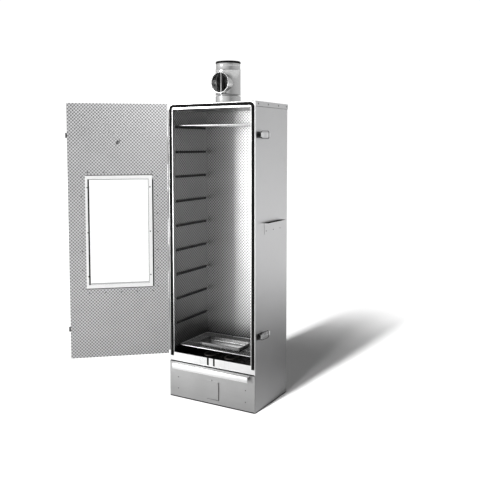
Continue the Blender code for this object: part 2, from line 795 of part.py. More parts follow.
# Thermometer through the door: dial case outside, stem, and a wing nut inside
STEM_R, STEM_TIP = 0.003, -0.158
CASE_R, CASE_DEPTH = 0.038, 0.012
case_back = DOOR_OUTER_Y - GAP
stem_outline = [(0.0, case_back - CASE_DEPTH), (CASE_R - 0.002, case_back - CASE_DEPTH)]
stem_outline += [(CASE_R, case_back - CASE_DEPTH + 0.002), (CASE_R, case_back)]
stem_outline += [(STEM_R, case_back), (STEM_R, STEM_TIP - 0.002), (0.0, STEM_TIP)]
thermometer = turned(
    "thermometer",
    stem_outline,
    BLACK_STEEL,
    place=(THERMOMETER_X, 0, THERMOMETER_Z),
    axis=(0, 1, 0),
    parent=door_hinge,
)
stem_hole = rod(
    "stem_hole",
    (THERMOMETER_X, -0.22, THERMOMETER_Z),
    (THERMOMETER_X, -0.16, THERMOMETER_Z),
    STEM_R + 0.0005,
    parent=door_hinge,
    group=cutters,
    sides=12,
)
for holed in (door_skin, door_liner, door_insulation):
    cut(holed, stem_hole)
nut_low, nut_high, NUT_R = DOOR_INNER_Y + GAP, DOOR_INNER_Y + 0.009, 0.0075
wing_nut = rod(
    "thermometer_wing_nut",
    (THERMOMETER_X, nut_low, THERMOMETER_Z),
    (THERMOMETER_X, nut_high, THERMOMETER_Z),
    NUT_R,
    BLACK_STEEL,
    parent=door_hinge,
)
wing_bm = cube_between((-0.0145, nut_low + 0.002, -0.002), (0.0145, nut_high + 0.004, 0.002))
bmesh.ops.rotate(wing_bm, matrix=Matrix.Rotation(math.radians(45), 3, "Y"), verts=wing_bm.verts)
bmesh.ops.translate(wing_bm, vec=(THERMOMETER_X, 0, THERMOMETER_Z), verts=wing_bm.verts)
wings = add("wings", finished(wing_bm, "wings"), None, door_hinge, cutters)
join(wing_nut, wings)
cut(wing_nut, stem_hole)

# Long hinge: two leaves with interlocking knuckles, and the pin fixed in the cabinet's leaf
KNUCKLES = 9
KNUCKLE_R, HINGE_PIN_R = 0.0025, 0.0012
HINGE_BOTTOM, HINGE_TOP = 0.240, 1.470
knuckle_len = (HINGE_TOP - HINGE_BOTTOM) / KNUCKLES
leaf_x = (-HALF_W - GAP - SHEET, -HALF_W - GAP)
LEAF_CLEAR = 0.0030
for name, root_y, end_y, own, parent in (
    ("hinge_leaf_cabinet", HINGE_PIN.y + LEAF_CLEAR, -0.150, 0, None),
    ("hinge_leaf_door", HINGE_PIN.y - LEAF_CLEAR, DOOR_OUTER_Y + 0.001, 1, door_hinge),
):
    leaf = box(
        name,
        (leaf_x[0], min(root_y, end_y), HINGE_BOTTOM),
        (leaf_x[1], max(root_y, end_y), HINGE_TOP),
        BRUSHED,
        parent=parent,
    )
    for i in range(own, KNUCKLES, 2):
        low = HINGE_BOTTOM + i * knuckle_len + 0.0004
        high = HINGE_BOTTOM + (i + 1) * knuckle_len - 0.0004
        tab = box(
            f"{name}_tab_{i + 1}",
            (leaf_x[0], min(HINGE_PIN.y, root_y + math.copysign(0.001, end_y - root_y)), low),
            (leaf_x[1], max(HINGE_PIN.y, root_y + math.copysign(0.001, end_y - root_y)), high),
            parent=parent,
            group=cutters,
        )
        knuckle = rod(
            f"{name}_knuckle_{i + 1}",
            (HINGE_PIN.x, HINGE_PIN.y, low),
            (HINGE_PIN.x, HINGE_PIN.y, high),
            KNUCKLE_R,
            parent=parent,
            group=cutters,
            sides=12,
        )
        join(leaf, tab)
        join(leaf, knuckle)
    bore_r = HINGE_PIN_R if own == 0 else HINGE_PIN_R + 0.0004
    through = rod(
        f"{name}_pin",
        (HINGE_PIN.x, HINGE_PIN.y, HINGE_BOTTOM - (0.0 if own == 0 else 0.01)),
        (HINGE_PIN.x, HINGE_PIN.y, HINGE_TOP + (0.0 if own == 0 else 0.01)),
        bore_r,
        parent=parent,
        group=cutters,
        sides=8,
    )
    if own == 0:
        join(leaf, through)
    else:
        cut(leaf, through)

# Toggle latches on the right side, and their keepers on the door's free edge
LATCH_X = HALF_W + 0.012
LEVER_PIN_Y, BAIL_PIN_Y = -0.138, -0.130
BAIL_LENGTH, BAIL_HALF, BAIL_R = 0.0585, 0.0180, 0.0014
BAIL_REST = math.radians(-8)
EAR_Z, EAR_T = 0.0125, 0.0012
for where, z in LATCH_HEIGHTS.items():
    base = box(
        f"latch_base_{where}",
        (HALF_W + GAP, -0.157, z - 0.0145),
        (HALF_W + GAP + SHEET, -0.106, z + 0.0145),
        BLACK_STEEL,
    )
    for end, sign in (("low", -1), ("high", 1)):
        ear = box(
            f"latch_ear_{where}_{end}",
            (HALF_W + GAP + 0.0005, LEVER_PIN_Y - 0.005, z + sign * EAR_Z - EAR_T / 2),
            (LATCH_X + 0.003, LEVER_PIN_Y + 0.004, z + sign * EAR_Z + EAR_T / 2),
            group=cutters,
        )
        join(base, ear)
    lever_pin = rod(
        f"lever_pin_{where}",
        (LATCH_X, LEVER_PIN_Y, z - EAR_Z - 0.0018),
        (LATCH_X, LEVER_PIN_Y, z + EAR_Z + 0.0018),
        0.0015,
        group=cutters,
        sides=12,
    )
    join(base, lever_pin)

    lever_pivot = pivot(f"lever_pivot_{where}", (LATCH_X, LEVER_PIN_Y, z))
    lever_path = [(LATCH_X + 0.0040, LEVER_PIN_Y - 0.005), (LATCH_X + 0.0040, BAIL_PIN_Y + 0.006)]
    lever_path += [(LATCH_X - 0.0020, BAIL_PIN_Y + 0.018), (LATCH_X - 0.0010, BAIL_PIN_Y + 0.070)]
    lever_path += [(LATCH_X + 0.0040, BAIL_PIN_Y + 0.080)]
    lever = bent_sheet(
        f"latch_lever_{where}",
        lever_path,
        z - 0.009,
        z + 0.009,
        2,
        BRIGHT,
        parent=lever_pivot,
    )
    for end, sign in (("low", -1), ("high", 1)):
        cheek = plate(
            f"lever_cheek_{where}_{end}",
            [
                [
                    (LATCH_X - 0.0028, LEVER_PIN_Y - 0.003),
                    (LATCH_X + 0.0042, LEVER_PIN_Y - 0.005),
                    (LATCH_X + 0.0042, BAIL_PIN_Y + 0.006),
                    (LATCH_X - 0.0028, BAIL_PIN_Y + 0.004),
                ]
            ],
            z + sign * 0.0096,
            SHEET + 0.0003,
            2,
            parent=lever_pivot,
            group=cutters,
        )
        join(lever, cheek)
    for pin_y, radius in ((LEVER_PIN_Y, 0.0019), (BAIL_PIN_Y, BAIL_R + 0.0004)):
        lever_hole = rod(
            f"lever_hole_{where}_{abs(pin_y):.3f}",
            (LATCH_X, pin_y, z - 0.02),
            (LATCH_X, pin_y, z + 0.02),
            radius,
            parent=lever_pivot,
            group=cutters,
            sides=12,
        )
        cut(lever, lever_hole)

    bail_pivot = pivot(
        f"bail_pivot_{where}", (LATCH_X, BAIL_PIN_Y, z), BAIL_REST, parent=lever_pivot
    )
    far = BAIL_PIN_Y + BAIL_LENGTH
    corner = 0.006
    bail_points = [(-0.0080, BAIL_PIN_Y), (-BAIL_HALF + 0.003, BAIL_PIN_Y)]
    bail_points += [(-BAIL_HALF, BAIL_PIN_Y + 0.003)]
    bail_points += arc((-BAIL_HALF + corner, far - corner), corner, 180, 90, 3)
    bail_points += arc((BAIL_HALF - corner, far - corner), corner, 90, 0, 3)
    bail_points += [(BAIL_HALF, BAIL_PIN_Y + 0.003), (BAIL_HALF - 0.003, BAIL_PIN_Y)]
    bail_points += [(0.0080, BAIL_PIN_Y)]
    loop = bpy.data.curves.new(f"bail_path_{where}", "CURVE")
    loop.dimensions = "3D"
    loop.bevel_depth = BAIL_R
    loop.bevel_resolution = 1
    loop.use_fill_caps = True
    bent = loop.splines.new("POLY")
    bent.points.add(len(bail_points) - 1)
    for point, (height, y) in zip(bent.points, bail_points):
        point.co = (LATCH_X, y, z + height, 1.0)
    name = f"latch_bail_{where}"
    smooth(add(name, solid_of_curve(loop, name), BLACK_STEEL, bail_pivot))

    keeper = box(
        f"keeper_{where}",
        (DOOR_RIGHT + GAP, -0.2025, z - 0.012),
        (DOOR_RIGHT + GAP + 0.0020, -0.1790, z + 0.012),
        BLACK_STEEL,
        parent=door_hinge,
    )
    hook = box(
        f"keeper_hook_{where}",
        (DOOR_RIGHT + GAP + 0.0010, -0.1845, z - 0.012),
        (DOOR_RIGHT + 0.0080, -0.1825, z + 0.012),
        parent=door_hinge,
        group=cutters,
    )
    join(keeper, hook)

bpy.context.view_layer.update()
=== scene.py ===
"""Electric cabinet smoker, dressed for show: sheet steel, embossed liners, wire racks, seals,
fittings and the studio round them. Metres, +Z up, and the front faces -Y.
"""

import json
import math

import bmesh
import bpy
from mathutils import Matrix, Vector

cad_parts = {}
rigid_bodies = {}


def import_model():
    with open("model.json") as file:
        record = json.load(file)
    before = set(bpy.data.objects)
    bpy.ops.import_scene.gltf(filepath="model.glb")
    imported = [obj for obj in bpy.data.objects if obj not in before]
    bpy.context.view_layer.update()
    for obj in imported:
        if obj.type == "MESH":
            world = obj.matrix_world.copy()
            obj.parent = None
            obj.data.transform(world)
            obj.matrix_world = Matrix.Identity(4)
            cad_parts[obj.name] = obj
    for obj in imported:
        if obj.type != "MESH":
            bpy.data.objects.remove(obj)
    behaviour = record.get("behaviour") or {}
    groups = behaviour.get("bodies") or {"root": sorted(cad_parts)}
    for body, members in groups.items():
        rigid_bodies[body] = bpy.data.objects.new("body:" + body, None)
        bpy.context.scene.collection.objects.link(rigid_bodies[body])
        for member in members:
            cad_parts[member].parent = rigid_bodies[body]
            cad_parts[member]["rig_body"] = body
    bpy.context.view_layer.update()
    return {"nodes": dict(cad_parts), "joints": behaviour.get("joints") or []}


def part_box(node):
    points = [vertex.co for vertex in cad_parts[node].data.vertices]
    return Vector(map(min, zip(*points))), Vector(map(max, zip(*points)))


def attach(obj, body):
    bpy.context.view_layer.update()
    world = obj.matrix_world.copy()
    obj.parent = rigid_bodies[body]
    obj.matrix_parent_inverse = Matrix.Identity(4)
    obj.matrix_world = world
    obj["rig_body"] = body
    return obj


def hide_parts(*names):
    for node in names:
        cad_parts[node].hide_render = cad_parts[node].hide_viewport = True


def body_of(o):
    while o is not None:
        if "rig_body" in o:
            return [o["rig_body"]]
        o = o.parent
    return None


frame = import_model()
nodes = frame["nodes"]

# Camera
# A 50 mm view from the front right, a little below the cabinet's top, with the lens shifted
# down so that the cabinet's uprights stay nearly parallel.
PITCH, YAW, ROLL = math.radians(4.31), math.radians(30.03), math.radians(0.06)
camera = bpy.data.objects.new("camera", bpy.data.cameras.new("camera"))
bpy.context.scene.collection.objects.link(camera)
camera.data.sensor_width = 36.0
camera.data.lens = 50.32
camera.data.shift_y = -0.0896
camera.location = (1.7637, -2.9327, 1.2871)
camera.rotation_euler = (math.pi / 2 - PITCH, ROLL, YAW)
bpy.context.scene.camera = camera
bpy.context.scene.view_settings.view_transform = "Standard"

# Cabinet body
# A U-shaped jacket of satin stainless sheet, a cover with a riveted skirt and a folded base.
# The grain runs up the sheets, as they come off the roll.
STEEL_TONE = (0.51, 0.51, 0.515, 1.0)
UPRIGHT_GRAIN, LEVEL_GRAIN = (900.0, 900.0, 6.0), (6.0, 900.0, 900.0)


def put(tree, kind, inputs=(), **settings):
    """A shader node with its settings. An input takes a value or another node's output."""
    made = tree.nodes.new("ShaderNode" + kind)
    for key, value in settings.items():
        setattr(made, key, value)
    for key, value in dict(inputs).items():
        if isinstance(value, bpy.types.NodeSocket):
            tree.links.new(value, made.inputs[key])
        else:
            made.inputs[key].default_value = value
    return made


def math_node(tree, operation, *values):
    """The result of one sum on values or other nodes' outputs."""
    return put(tree, "Math", dict(enumerate(values)), operation=operation).outputs[0]


def ranged(tree, value, source, target):
    """A value carried from one range to another, held at its ends."""
    return put(tree, "MapRange", dict(enumerate((value, *source, *target)))).outputs[0]


def new_group(name, inputs, outputs):
    """A shader node group with named sockets. It returns the tree, its inputs and its exit node."""
    tree = bpy.data.node_groups.new(name, "ShaderNodeTree")
    for label, (kind, value) in inputs.items():
        tree.interface.new_socket(label, in_out="INPUT", socket_type=kind).default_value = value
    for label, kind in outputs.items():
        tree.interface.new_socket(label, in_out="OUTPUT", socket_type=kind)
    return tree, tree.nodes.new("NodeGroupInput").outputs, tree.nodes.new("NodeGroupOutput").inputs


VECTOR, COLOUR, NUMBER = "NodeSocketVector", "NodeSocketColor", "NodeSocketFloat"

# Fine grain, slow changes of tone and faint handling marks, all over a satin sheet
grain, given, out = new_group(
    "satin_grain",
    {
        "Position": (VECTOR, (0.0, 0.0, 0.0)),
        "Stretch": (VECTOR, UPRIGHT_GRAIN),
        "Tone": (COLOUR, STEEL_TONE),
        "Contrast": (NUMBER, 0.10),
        "Roughness": (NUMBER, 0.36),
    },
    {"Color": COLOUR, "Roughness": NUMBER, "Height": NUMBER},
)
drawn = put(grain, "VectorMath", {0: given["Position"], 1: given["Stretch"]}, operation="MULTIPLY")
streaks = put(grain, "TexNoise", {"Vector": drawn.outputs[0], "Scale": 1.0, "Detail": 4.0})
clouds = put(
    grain, "TexNoise", {"Vector": given["Position"], "Scale": 5.0, "Detail": 4.0, "Roughness": 0.6}
)
marks = put(
    grain,
    "TexNoise",
    {"Vector": given["Position"], "Scale": 38.0, "Detail": 2.0, "Distortion": 1.5},
)
both = math_node(grain, "ADD", streaks.outputs[0], clouds.outputs[0])
depth = math_node(grain, "MULTIPLY_ADD", both, given["Contrast"], 1.0)
shade = math_node(grain, "SUBTRACT", depth, given["Contrast"])
toned = put(grain, "VectorMath", {0: given["Tone"], "Scale": shade}, operation="SCALE")
grain.links.new(toned.outputs[0], out["Color"])
worn = math_node(grain, "MULTIPLY_ADD", both, 0.14, -0.14)
smears = ranged(grain, marks.outputs[0], (0.58, 0.75), (0.0, 0.06))
rough = math_node(grain, "ADD", given["Roughness"], worn)
rough = math_node(grain, "ADD", rough, smears)
grain.links.new(rough, out["Roughness"])
grain.links.new(streaks.outputs[0], out["Height"])


def new_material(name):
    made = bpy.data.materials.new(name)
    made.use_nodes = True
    return made, made.node_tree, made.node_tree.nodes["Principled BSDF"]


def position(tree, turn=0.0, centre=(0.0, 0.0, 0.0)):
    """A sheet's own coordinates, turned about Z through centre so that a pattern follows it."""
    at = put(tree, "TexCoord").outputs["Object"]
    if not turn:
        return at
    back = Matrix.Rotation(turn, 3, "Z") @ Vector(centre)
    moved = put(tree, "Mapping", {"Vector": at}, vector_type="POINT")
    moved.inputs["Rotation"].default_value = (0.0, 0.0, turn)
    moved.inputs["Location"].default_value = Vector(centre) - back
    return moved.outputs[0]


def sheet_metal(name, effect, values, strength, distance, **where):
    """A metal sheet whose tone, roughness and relief come from one of the shared groups."""
    made, tree, shader = new_material(name)
    values = {"Position": position(tree, **where), **values}
    sheet = put(tree, "Group", values, node_tree=effect).outputs
    shader.inputs["Metallic"].default_value = 1.0
    tree.links.new(sheet["Color"], shader.inputs["Base Color"])
    tree.links.new(sheet["Roughness"], shader.inputs["Roughness"])
    relief = {"Height": sheet["Height"], "Strength": strength, "Distance": distance}
    tree.links.new(put(tree, "Bump", relief).outputs[0], shader.inputs["Normal"])
    return made


def satin_steel(name, grey=None, stretch=UPRIGHT_GRAIN, roughness=0.36, contrast=0.10, **where):
    """Satin steel of the usual tone, or of a darker or lighter grey."""
    values = {
        "Stretch": stretch,
        "Tone": (grey, grey, grey, 1.0) if grey else STEEL_TONE,
        "Contrast": contrast,
        "Roughness": roughness,
    }
    return sheet_metal(name, grain, values, 0.12, 0.0002, **where)


def mottled(name, noise, tones, rough, stops=(0.0, 1.0), pores=None, relief=(), **values):
    """A material with two tones and two roughnesses blended by a noise, each noise a scale and
    a detail. Pores give it relief, with a strength and a depth.
    """
    made, tree, shader = new_material(name)
    scale, detail = noise
    slow = put(tree, "TexNoise", {"Vector": position(tree), "Scale": scale, "Detail": detail})
    ramp = put(tree, "ValToRGB", {0: slow.outputs[0]})
    for stop, place, tone in zip(ramp.color_ramp.elements, stops, tones):
        stop.position, stop.color = place, (*tone, 1.0)
    tree.links.new(ramp.outputs[0], shader.inputs["Base Color"])
    if isinstance(rough, tuple):
        tree.links.new(ranged(tree, slow.outputs[0], (0.3, 0.7), rough), shader.inputs["Roughness"])
    else:
        shader.inputs["Roughness"].default_value = rough
    if pores:
        scale, detail = pores
        fine = put(tree, "TexNoise", {"Vector": position(tree), "Scale": scale, "Detail": detail})
        bump = {"Height": fine.outputs[0], "Strength": relief[0], "Distance": relief[1]}
        tree.links.new(put(tree, "Bump", bump).outputs[0], shader.inputs["Normal"])
    for key, value in values.items():
        shader.inputs[key.replace("_", " ")].default_value = value
    return made


def finish_nodes(made, *names):
    for name in names:
        slots = nodes[name].data.materials
        slots.clear()
        slots.append(made)


def piece(name, mesh, made, body, smooth=40):
    """A finished piece: its mesh in place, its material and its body."""
    if isinstance(mesh, bmesh.types.BMesh):
        bm, mesh = mesh, bpy.data.meshes.new(name)
        bmesh.ops.recalc_face_normals(bm, faces=bm.faces)
        bm.to_mesh(mesh)
        bm.free()
    obj = bpy.data.objects.new(name, mesh)
    bpy.context.scene.collection.objects.link(obj)
    mesh.materials.clear()
    mesh.materials.append(made)
    mesh.shade_smooth()
    mesh.set_sharp_from_angle(angle=math.radians(smooth))
    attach(obj, body)
    return obj


def domes(places, facing, radius, height, sides=12):
    """Rivet or screw heads: flattened balls sunk halfway into the sheet at each place."""
    bm = bmesh.new()
    aim = Vector((0, 0, 1)).rotation_difference(Vector(facing)).to_matrix().to_4x4()
    flat = Matrix.Diagonal((radius, radius, height, 1.0))
    for place in places:
        at = Matrix.Translation(Vector(place)) @ aim @ flat
        bmesh.ops.create_uvsphere(bm, u_segments=sides, v_segments=6, radius=1.0, matrix=at)
    return bm


def cuboid(low, high):
    low, high = Vector(low), Vector(high)
    at = Matrix.Translation((low + high) / 2) @ Matrix.Diagonal((*(high - low), 1.0))
    bm = bmesh.new()
    bmesh.ops.create_cube(bm, size=1.0, matrix=at)
    return bm


def ease(bm, edges, radius, segments=2):
    """Rounded edges."""
    bmesh.ops.bevel(
        bm, geom=edges, offset=radius, segments=segments, profile=0.5, affect="EDGES", material=-1
    )


def block(low, high, radius):
    """A block between two corners with eased edges."""
    bm = cuboid(low, high)
    ease(bm, bm.edges[:], radius)
    return bm


def merged(parts):
    """Several bmeshes as one."""
    whole = bmesh.new()
    for bm in parts:
        part = bpy.data.meshes.new("part")
        bm.to_mesh(part)
        bm.free()
        whole.from_mesh(part)
        bpy.data.meshes.remove(part)
    return whole


steel_upright = satin_steel("sheet_steel_upright")
steel_level = satin_steel("sheet_steel_level", stretch=LEVEL_GRAIN)
frame_steel = satin_steel("front_frame_steel", 0.82, roughness=0.30)
rivet_steel = satin_steel("rivet_steel", 0.15, roughness=0.34)
finish_nodes(steel_upright, "outer_shell")
finish_nodes(frame_steel, "front_frame")
finish_nodes(steel_level, "top_cover", "base_plate")

cover_low, cover_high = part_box("top_cover")
SIDE_RIVETS_Y, BACK_RIVETS_X = (-0.142, -0.043, 0.067, 0.160), (-0.22, -0.11, 0.0, 0.11, 0.22)
SKIRT_RIVET_Z, SKIRT_RIVET = 1.488, (0.0046, 0.0013)
rows = [
    ((1, 0, 0), [(cover_high.x, y) for y in SIDE_RIVETS_Y]),
    ((-1, 0, 0), [(cover_low.x, y) for y in SIDE_RIVETS_Y]),
    ((0, 1, 0), [(x, cover_high.y) for x in BACK_RIVETS_X]),
]
rivets = [
    domes([(x, y, SKIRT_RIVET_Z) for x, y in row], facing, *SKIRT_RIVET) for facing, row in rows
]
piece("cover_rivets", merged(rivets), rivet_steel, "cabinet")
# Dark strips under the skirt's lower edge, on both sides and the back, are painted shade in the gap
# below the skirt.
SKIRT_SHADE_LOW, SKIRT_SHADE_HIGH = cover_low.z - 0.0022, cover_low.z + 0.0004
skirt_shade = [
    block((x - 0.0006, -0.165, SKIRT_SHADE_LOW), (x + 0.0006, 0.168, SKIRT_SHADE_HIGH), 0.0002)
    for x in (-0.2502, 0.2502)
]
skirt_shade.append(block((-0.245, 0.1696, SKIRT_SHADE_LOW), (0.245, 0.1708, SKIRT_SHADE_HIGH), 0.0002))
piece("cover_seam_sealant", merged(skirt_shade), rivet_steel, "cabinet")

# Chamber liner
# One folded tray of embossed stainless sheet behind the opening. Its pattern of small round cups
# hides dents and stiffens the thin sheet. Mineral wool fills the space round it.
# The chamber's liner is a darker copy of the door liner's tone, and both are painted darker towards
# their foot: painted shade inside the chamber and over its floor.
EMBOSS_PITCH, CHAMBER_SHADE_TONE = 0.0165, (0.46, 0.46, 0.46, 1.0)
SHADE_FOOT, SHALLOW_SHADE_TOP, DEEP_SHADE_TOP = 0.19, 0.195, 0.34
emboss, given, out = new_group(
    "embossed_cups",
    {
        "Position": (VECTOR, (0.0, 0.0, 0.0)),
        "Pitch": (NUMBER, EMBOSS_PITCH),
        "Tone": (COLOUR, STEEL_TONE),
        "Roughness": (NUMBER, 0.34),
        "Soot Top": (NUMBER, SHALLOW_SHADE_TOP),
    },
    {"Color": COLOUR, "Roughness": NUMBER, "Height": NUMBER},
)
axes = put(emboss, "SeparateXYZ", {0: given["Position"]}).outputs
facing = put(emboss, "SeparateXYZ", {0: put(emboss, "NewGeometry").outputs["True Normal"]}).outputs
level = math_node(emboss, "GREATER_THAN", math_node(emboss, "ABSOLUTE", facing["Z"]), 0.7)
around = math_node(emboss, "ADD", axes["X"], axes["Y"])
across = put(emboss, "Mix", {0: level, 2: around, 3: axes["X"]}).outputs[0]
along = put(emboss, "Mix", {0: level, 2: axes["Z"], 3: axes["Y"]}).outputs[0]
waves = []
for run in (across, along):
    turns = math_node(emboss, "DIVIDE", run, given["Pitch"])
    waves.append(math_node(emboss, "SINE", math_node(emboss, "MULTIPLY", turns, math.tau)))
bumps = ranged(emboss, math_node(emboss, "MULTIPLY", *waves), (-1.0, 1.0), (0.0, 1.0))
uneven = put(
    emboss, "TexNoise", {"Vector": given["Position"], "Scale": 160.0, "Detail": 2.0}
).outputs[0]
raised = math_node(emboss, "MULTIPLY_ADD", uneven, 0.35, bumps)
emboss.links.new(raised, out["Height"])
film = put(
    emboss, "TexNoise", {"Vector": given["Position"], "Scale": 6.0, "Detail": 5.0, "Roughness": 0.6}
).outputs[0]
# The cups' hollows are painted darker and their crowns lighter: painted shade and painted
# highlight.
cup_shade_and_highlight = ranged(emboss, bumps, (0.15, 0.75), (0.34, 1.22))
filmed = ranged(emboss, film, (0.3, 0.7), (0.92, 1.04))
# The sheet is painted darker towards its foot: painted shade.
painted_foot_shade = ranged(emboss, axes["Z"], (SHADE_FOOT, given["Soot Top"]), (0.04, 1.0))
dim = math_node(emboss, "MULTIPLY", cup_shade_and_highlight, filmed)
dim = math_node(emboss, "MULTIPLY", dim, painted_foot_shade)
toned = put(emboss, "VectorMath", {0: given["Tone"], "Scale": dim}, operation="SCALE")
emboss.links.new(toned.outputs[0], out["Color"])
rough = ranged(emboss, film, (0.3, 0.7), (-0.05, 0.07))
rough = math_node(emboss, "ADD", rough, given["Roughness"])
emboss.links.new(rough, out["Roughness"])


def embossed_steel(name, relief, tone=STEEL_TONE, shade_top=SHALLOW_SHADE_TOP, **where):
    """Embossed sheet with cups as deep as relief, and painted shade from its foot up to its given
    top.
    """
    return sheet_metal(name, emboss, {"Tone": tone, "Soot Top": shade_top}, 1.0, relief, **where)


liner_steel = embossed_steel("embossed_liner", 0.0006, CHAMBER_SHADE_TONE, DEEP_SHADE_TOP)
finish_nodes(liner_steel, "inner_liner")

wool = mottled(
    "mineral_wool",
    (900.0, 3.0),
    ((0.10, 0.10, 0.095), (0.22, 0.22, 0.21)),
    0.95,
    pores=(900.0, 3.0),
    relief=(0.6, 0.001),
)
finish_nodes(wool, "cabinet_insulation", "door_insulation")

# Door seal
# A moulded strip of black silicone with a rounded face, stuck to the front frame up both sides
# and over the top. The door's liner presses on it.
rubber = mottled(
    "black_silicone",
    (22.0, 4.0),
    ((0.006, 0.006, 0.006), (0.022, 0.022, 0.022)),
    (0.70, 0.90),
    stops=(0.45, 0.85),
    pores=(1400.0, 3.0),
    relief=(0.3, 0.0002),
    Specular_IOR_Level=0.08,
)

seal_low, seal_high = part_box("door_gasket")
SEAL_W, SEAL_OVER, SEAL_CORNER_R, CORNER_STEPS = 0.0150, 0.0015, 0.0245, 10


def seal_outline(inset):
    """One edge of the strip, from its lower left end over the top to its lower right end."""
    inset, r = inset - SEAL_OVER, SEAL_CORNER_R - inset
    side, top = seal_high.x - inset, seal_high.z - inset
    turns = [math.pi * (1 - i / CORNER_STEPS / 2) for i in range(CORNER_STEPS + 1)]
    left = [(-side + r + r * math.cos(a), top - r + r * math.sin(a)) for a in turns]
    return [(-side, seal_low.z), *left, *[(-x, z) for x, z in left[::-1]], (side, seal_low.z)]


back, mid, crown = seal_high.y, seal_low.y + 0.0016, seal_low.y
section = [(0.0, back), (0.0, mid), (0.0007, crown + 0.0005), (0.0020, crown)]
section += [(SEAL_W - inset, y) for inset, y in section[::-1]]
bm = bmesh.new()
rows = [[bm.verts.new((x, y, z)) for x, z in seal_outline(inset)] for inset, y in section]
for one, other in zip(rows, rows[1:] + rows[:1]):
    for i in range(len(one) - 1):
        bm.faces.new((one[i], one[i + 1], other[i + 1], other[i]))
for end in (0, -1):
    bm.faces.new([row[end] for row in rows])
seal = piece("door_seal_strip", bm, rubber, "cabinet", smooth=60)
# Black blocks behind the sill's two slots, in the gap over the drawer and along the foot of both
# sides are painted shade.
FRONT_FACE, SILL_FOOT, SILL_TOP, SHADE_EASE = -0.1700, 0.195, 0.2325, 0.0002
shade_boxes = [
    ((low_x, FRONT_FACE + 0.0002, SILL_FOOT), (high_x, FRONT_FACE + 0.0012, SILL_TOP))
    for low_x, high_x in ((-0.0262, -0.0148), (0.0098, 0.0202))
]
shade_boxes.append(((-0.2450, FRONT_FACE - 0.0008, 0.1856), (0.2450, FRONT_FACE + 0.0004, 0.1896)))
for x in (-0.2503, 0.2503):
    shade_boxes.append(((x - 0.0007, -0.1660, 0.0), (x + 0.0007, 0.1660, 0.0035)))
shades = [block(*corners, SHADE_EASE) for corners in shade_boxes]
piece("sill_and_foot_edging", merged(shades), rubber, "cabinet")
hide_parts("door_gasket")

# Shelf rails
# Ten pairs of small folded steel angles, painted near black for the shade on and under them.
# Two rivets hold each one to the chamber's side wall.
rail_shade_steel = satin_steel("smoked_rail_steel", 0.05, stretch=(900.0, 6.0, 900.0), contrast=0.3)
rail_names = [name for name in nodes if name.startswith("rail_")]
finish_nodes(rail_shade_steel, *rail_names)
RAIL_RIVET_Y, RAIL_RIVET_DROP = (-0.118, 0.108), 0.0066
for side, sign in (("left", 1), ("right", -1)):
    places = []
    for name in rail_names:
        if side in name:
            low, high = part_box(name)
            wall = low.x if sign > 0 else high.x
            places += [(wall + sign * 0.0012, y, high.z - RAIL_RIVET_DROP) for y in RAIL_RIVET_Y]
    heads = domes(places, (sign, 0, 0), 0.0026, 0.0011, sides=10)
    piece(f"rail_rivets_{side}", heads, rivet_steel, "cabinet")

# Wire racks
# Bright-plated wire: a stout rim with rounded corners, forty thin wires welded across it from
# front to back, and two braces under them.
plated = mottled(
    "bright_plated_wire",
    (60.0, 3.0),
    ((0.60, 0.60, 0.61), (0.78, 0.78, 0.78)),
    (0.26, 0.36),
    Metallic=1.0,
)


def meshed(obj):
    """The finished mesh of a curve, a text or an object with modifiers."""
    bpy.context.view_layer.update()
    finished = obj.evaluated_get(bpy.context.evaluated_depsgraph_get())
    return bpy.data.meshes.new_from_object(finished)


def wire(points, radius, cyclic=False, resolution=3):
    """A round wire along straight runs between points, as a closed mesh."""
    curve = bpy.data.curves.new("wire", "CURVE")
    curve.dimensions = "3D"
    curve.bevel_depth = radius
    curve.bevel_resolution = resolution
    curve.use_fill_caps = not cyclic
    run = curve.splines.new("POLY")
    run.points.add(len(points) - 1)
    for point, place in zip(run.points, points):
        point.co = (*place, 1.0)
    run.use_cyclic_u = cyclic
    drawn = bpy.data.objects.new("wire", curve)
    bpy.context.scene.collection.objects.link(drawn)
    mesh = meshed(drawn)
    bpy.data.objects.remove(drawn)
    bm = bmesh.new()
    bm.from_mesh(mesh)
    bmesh.ops.remove_doubles(bm, verts=bm.verts, dist=1e-6)
    return bm


def arc(centre, radius, start, end, steps):
    """Points of a flat arc, in degrees."""
    turns = [math.radians(start + (end - start) * i / steps) for i in range(steps + 1)]
    return [(centre[0] + radius * math.cos(t), centre[1] + radius * math.sin(t)) for t in turns]


def bar(start, end, radius, sides=8):
    start, end = Vector(start), Vector(end)
    bm = bmesh.new()
    aim = Vector((0, 0, 1)).rotation_difference(end - start).to_matrix().to_4x4()
    at = Matrix.Translation((start + end) / 2) @ aim
    bmesh.ops.create_cone(
        bm,
        cap_ends=True,
        segments=sides,
        radius1=radius,
        radius2=radius,
        depth=(end - start).length,
        matrix=at,
    )
    return bm


RIM_R, RACK_WIRE_R, BRACE_R, RACK_CORNER, WIRES = 0.0022, 0.0015, 0.0013, 0.014, 40
for name, body in (("rack_bottom", "lower_rack"), ("rack_top", "upper_rack")):
    low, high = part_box(name)
    left, right, front, back = low.x + RIM_R, high.x - RIM_R, low.y + RIM_R, high.y - RIM_R
    z = (low.z + high.z) / 2
    c = RACK_CORNER
    loop = arc((right - c, back - c), c, 0, 90, 5) + arc((left + c, back - c), c, 90, 180, 5)
    loop += arc((left + c, front + c), c, 180, 270, 5) + arc((right - c, front + c), c, 270, 360, 5)
    parts = [wire([(x, y, z) for x, y in loop], RIM_R, cyclic=True)]
    pitch = (right - left) / (WIRES + 1)
    for i in range(WIRES):
        x = left + (i + 1) * pitch
        parts.append(bar((x, front, z + 0.0006), (x, back, z + 0.0006), RACK_WIRE_R))
    for y in (front + 0.075, back - 0.075):
        parts.append(bar((left, y, z - 0.0009), (right, y, z - 0.0009), BRACE_R))
    rack = piece(name + "_wires", merged(parts), plated, body, smooth=60)
    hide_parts(name)

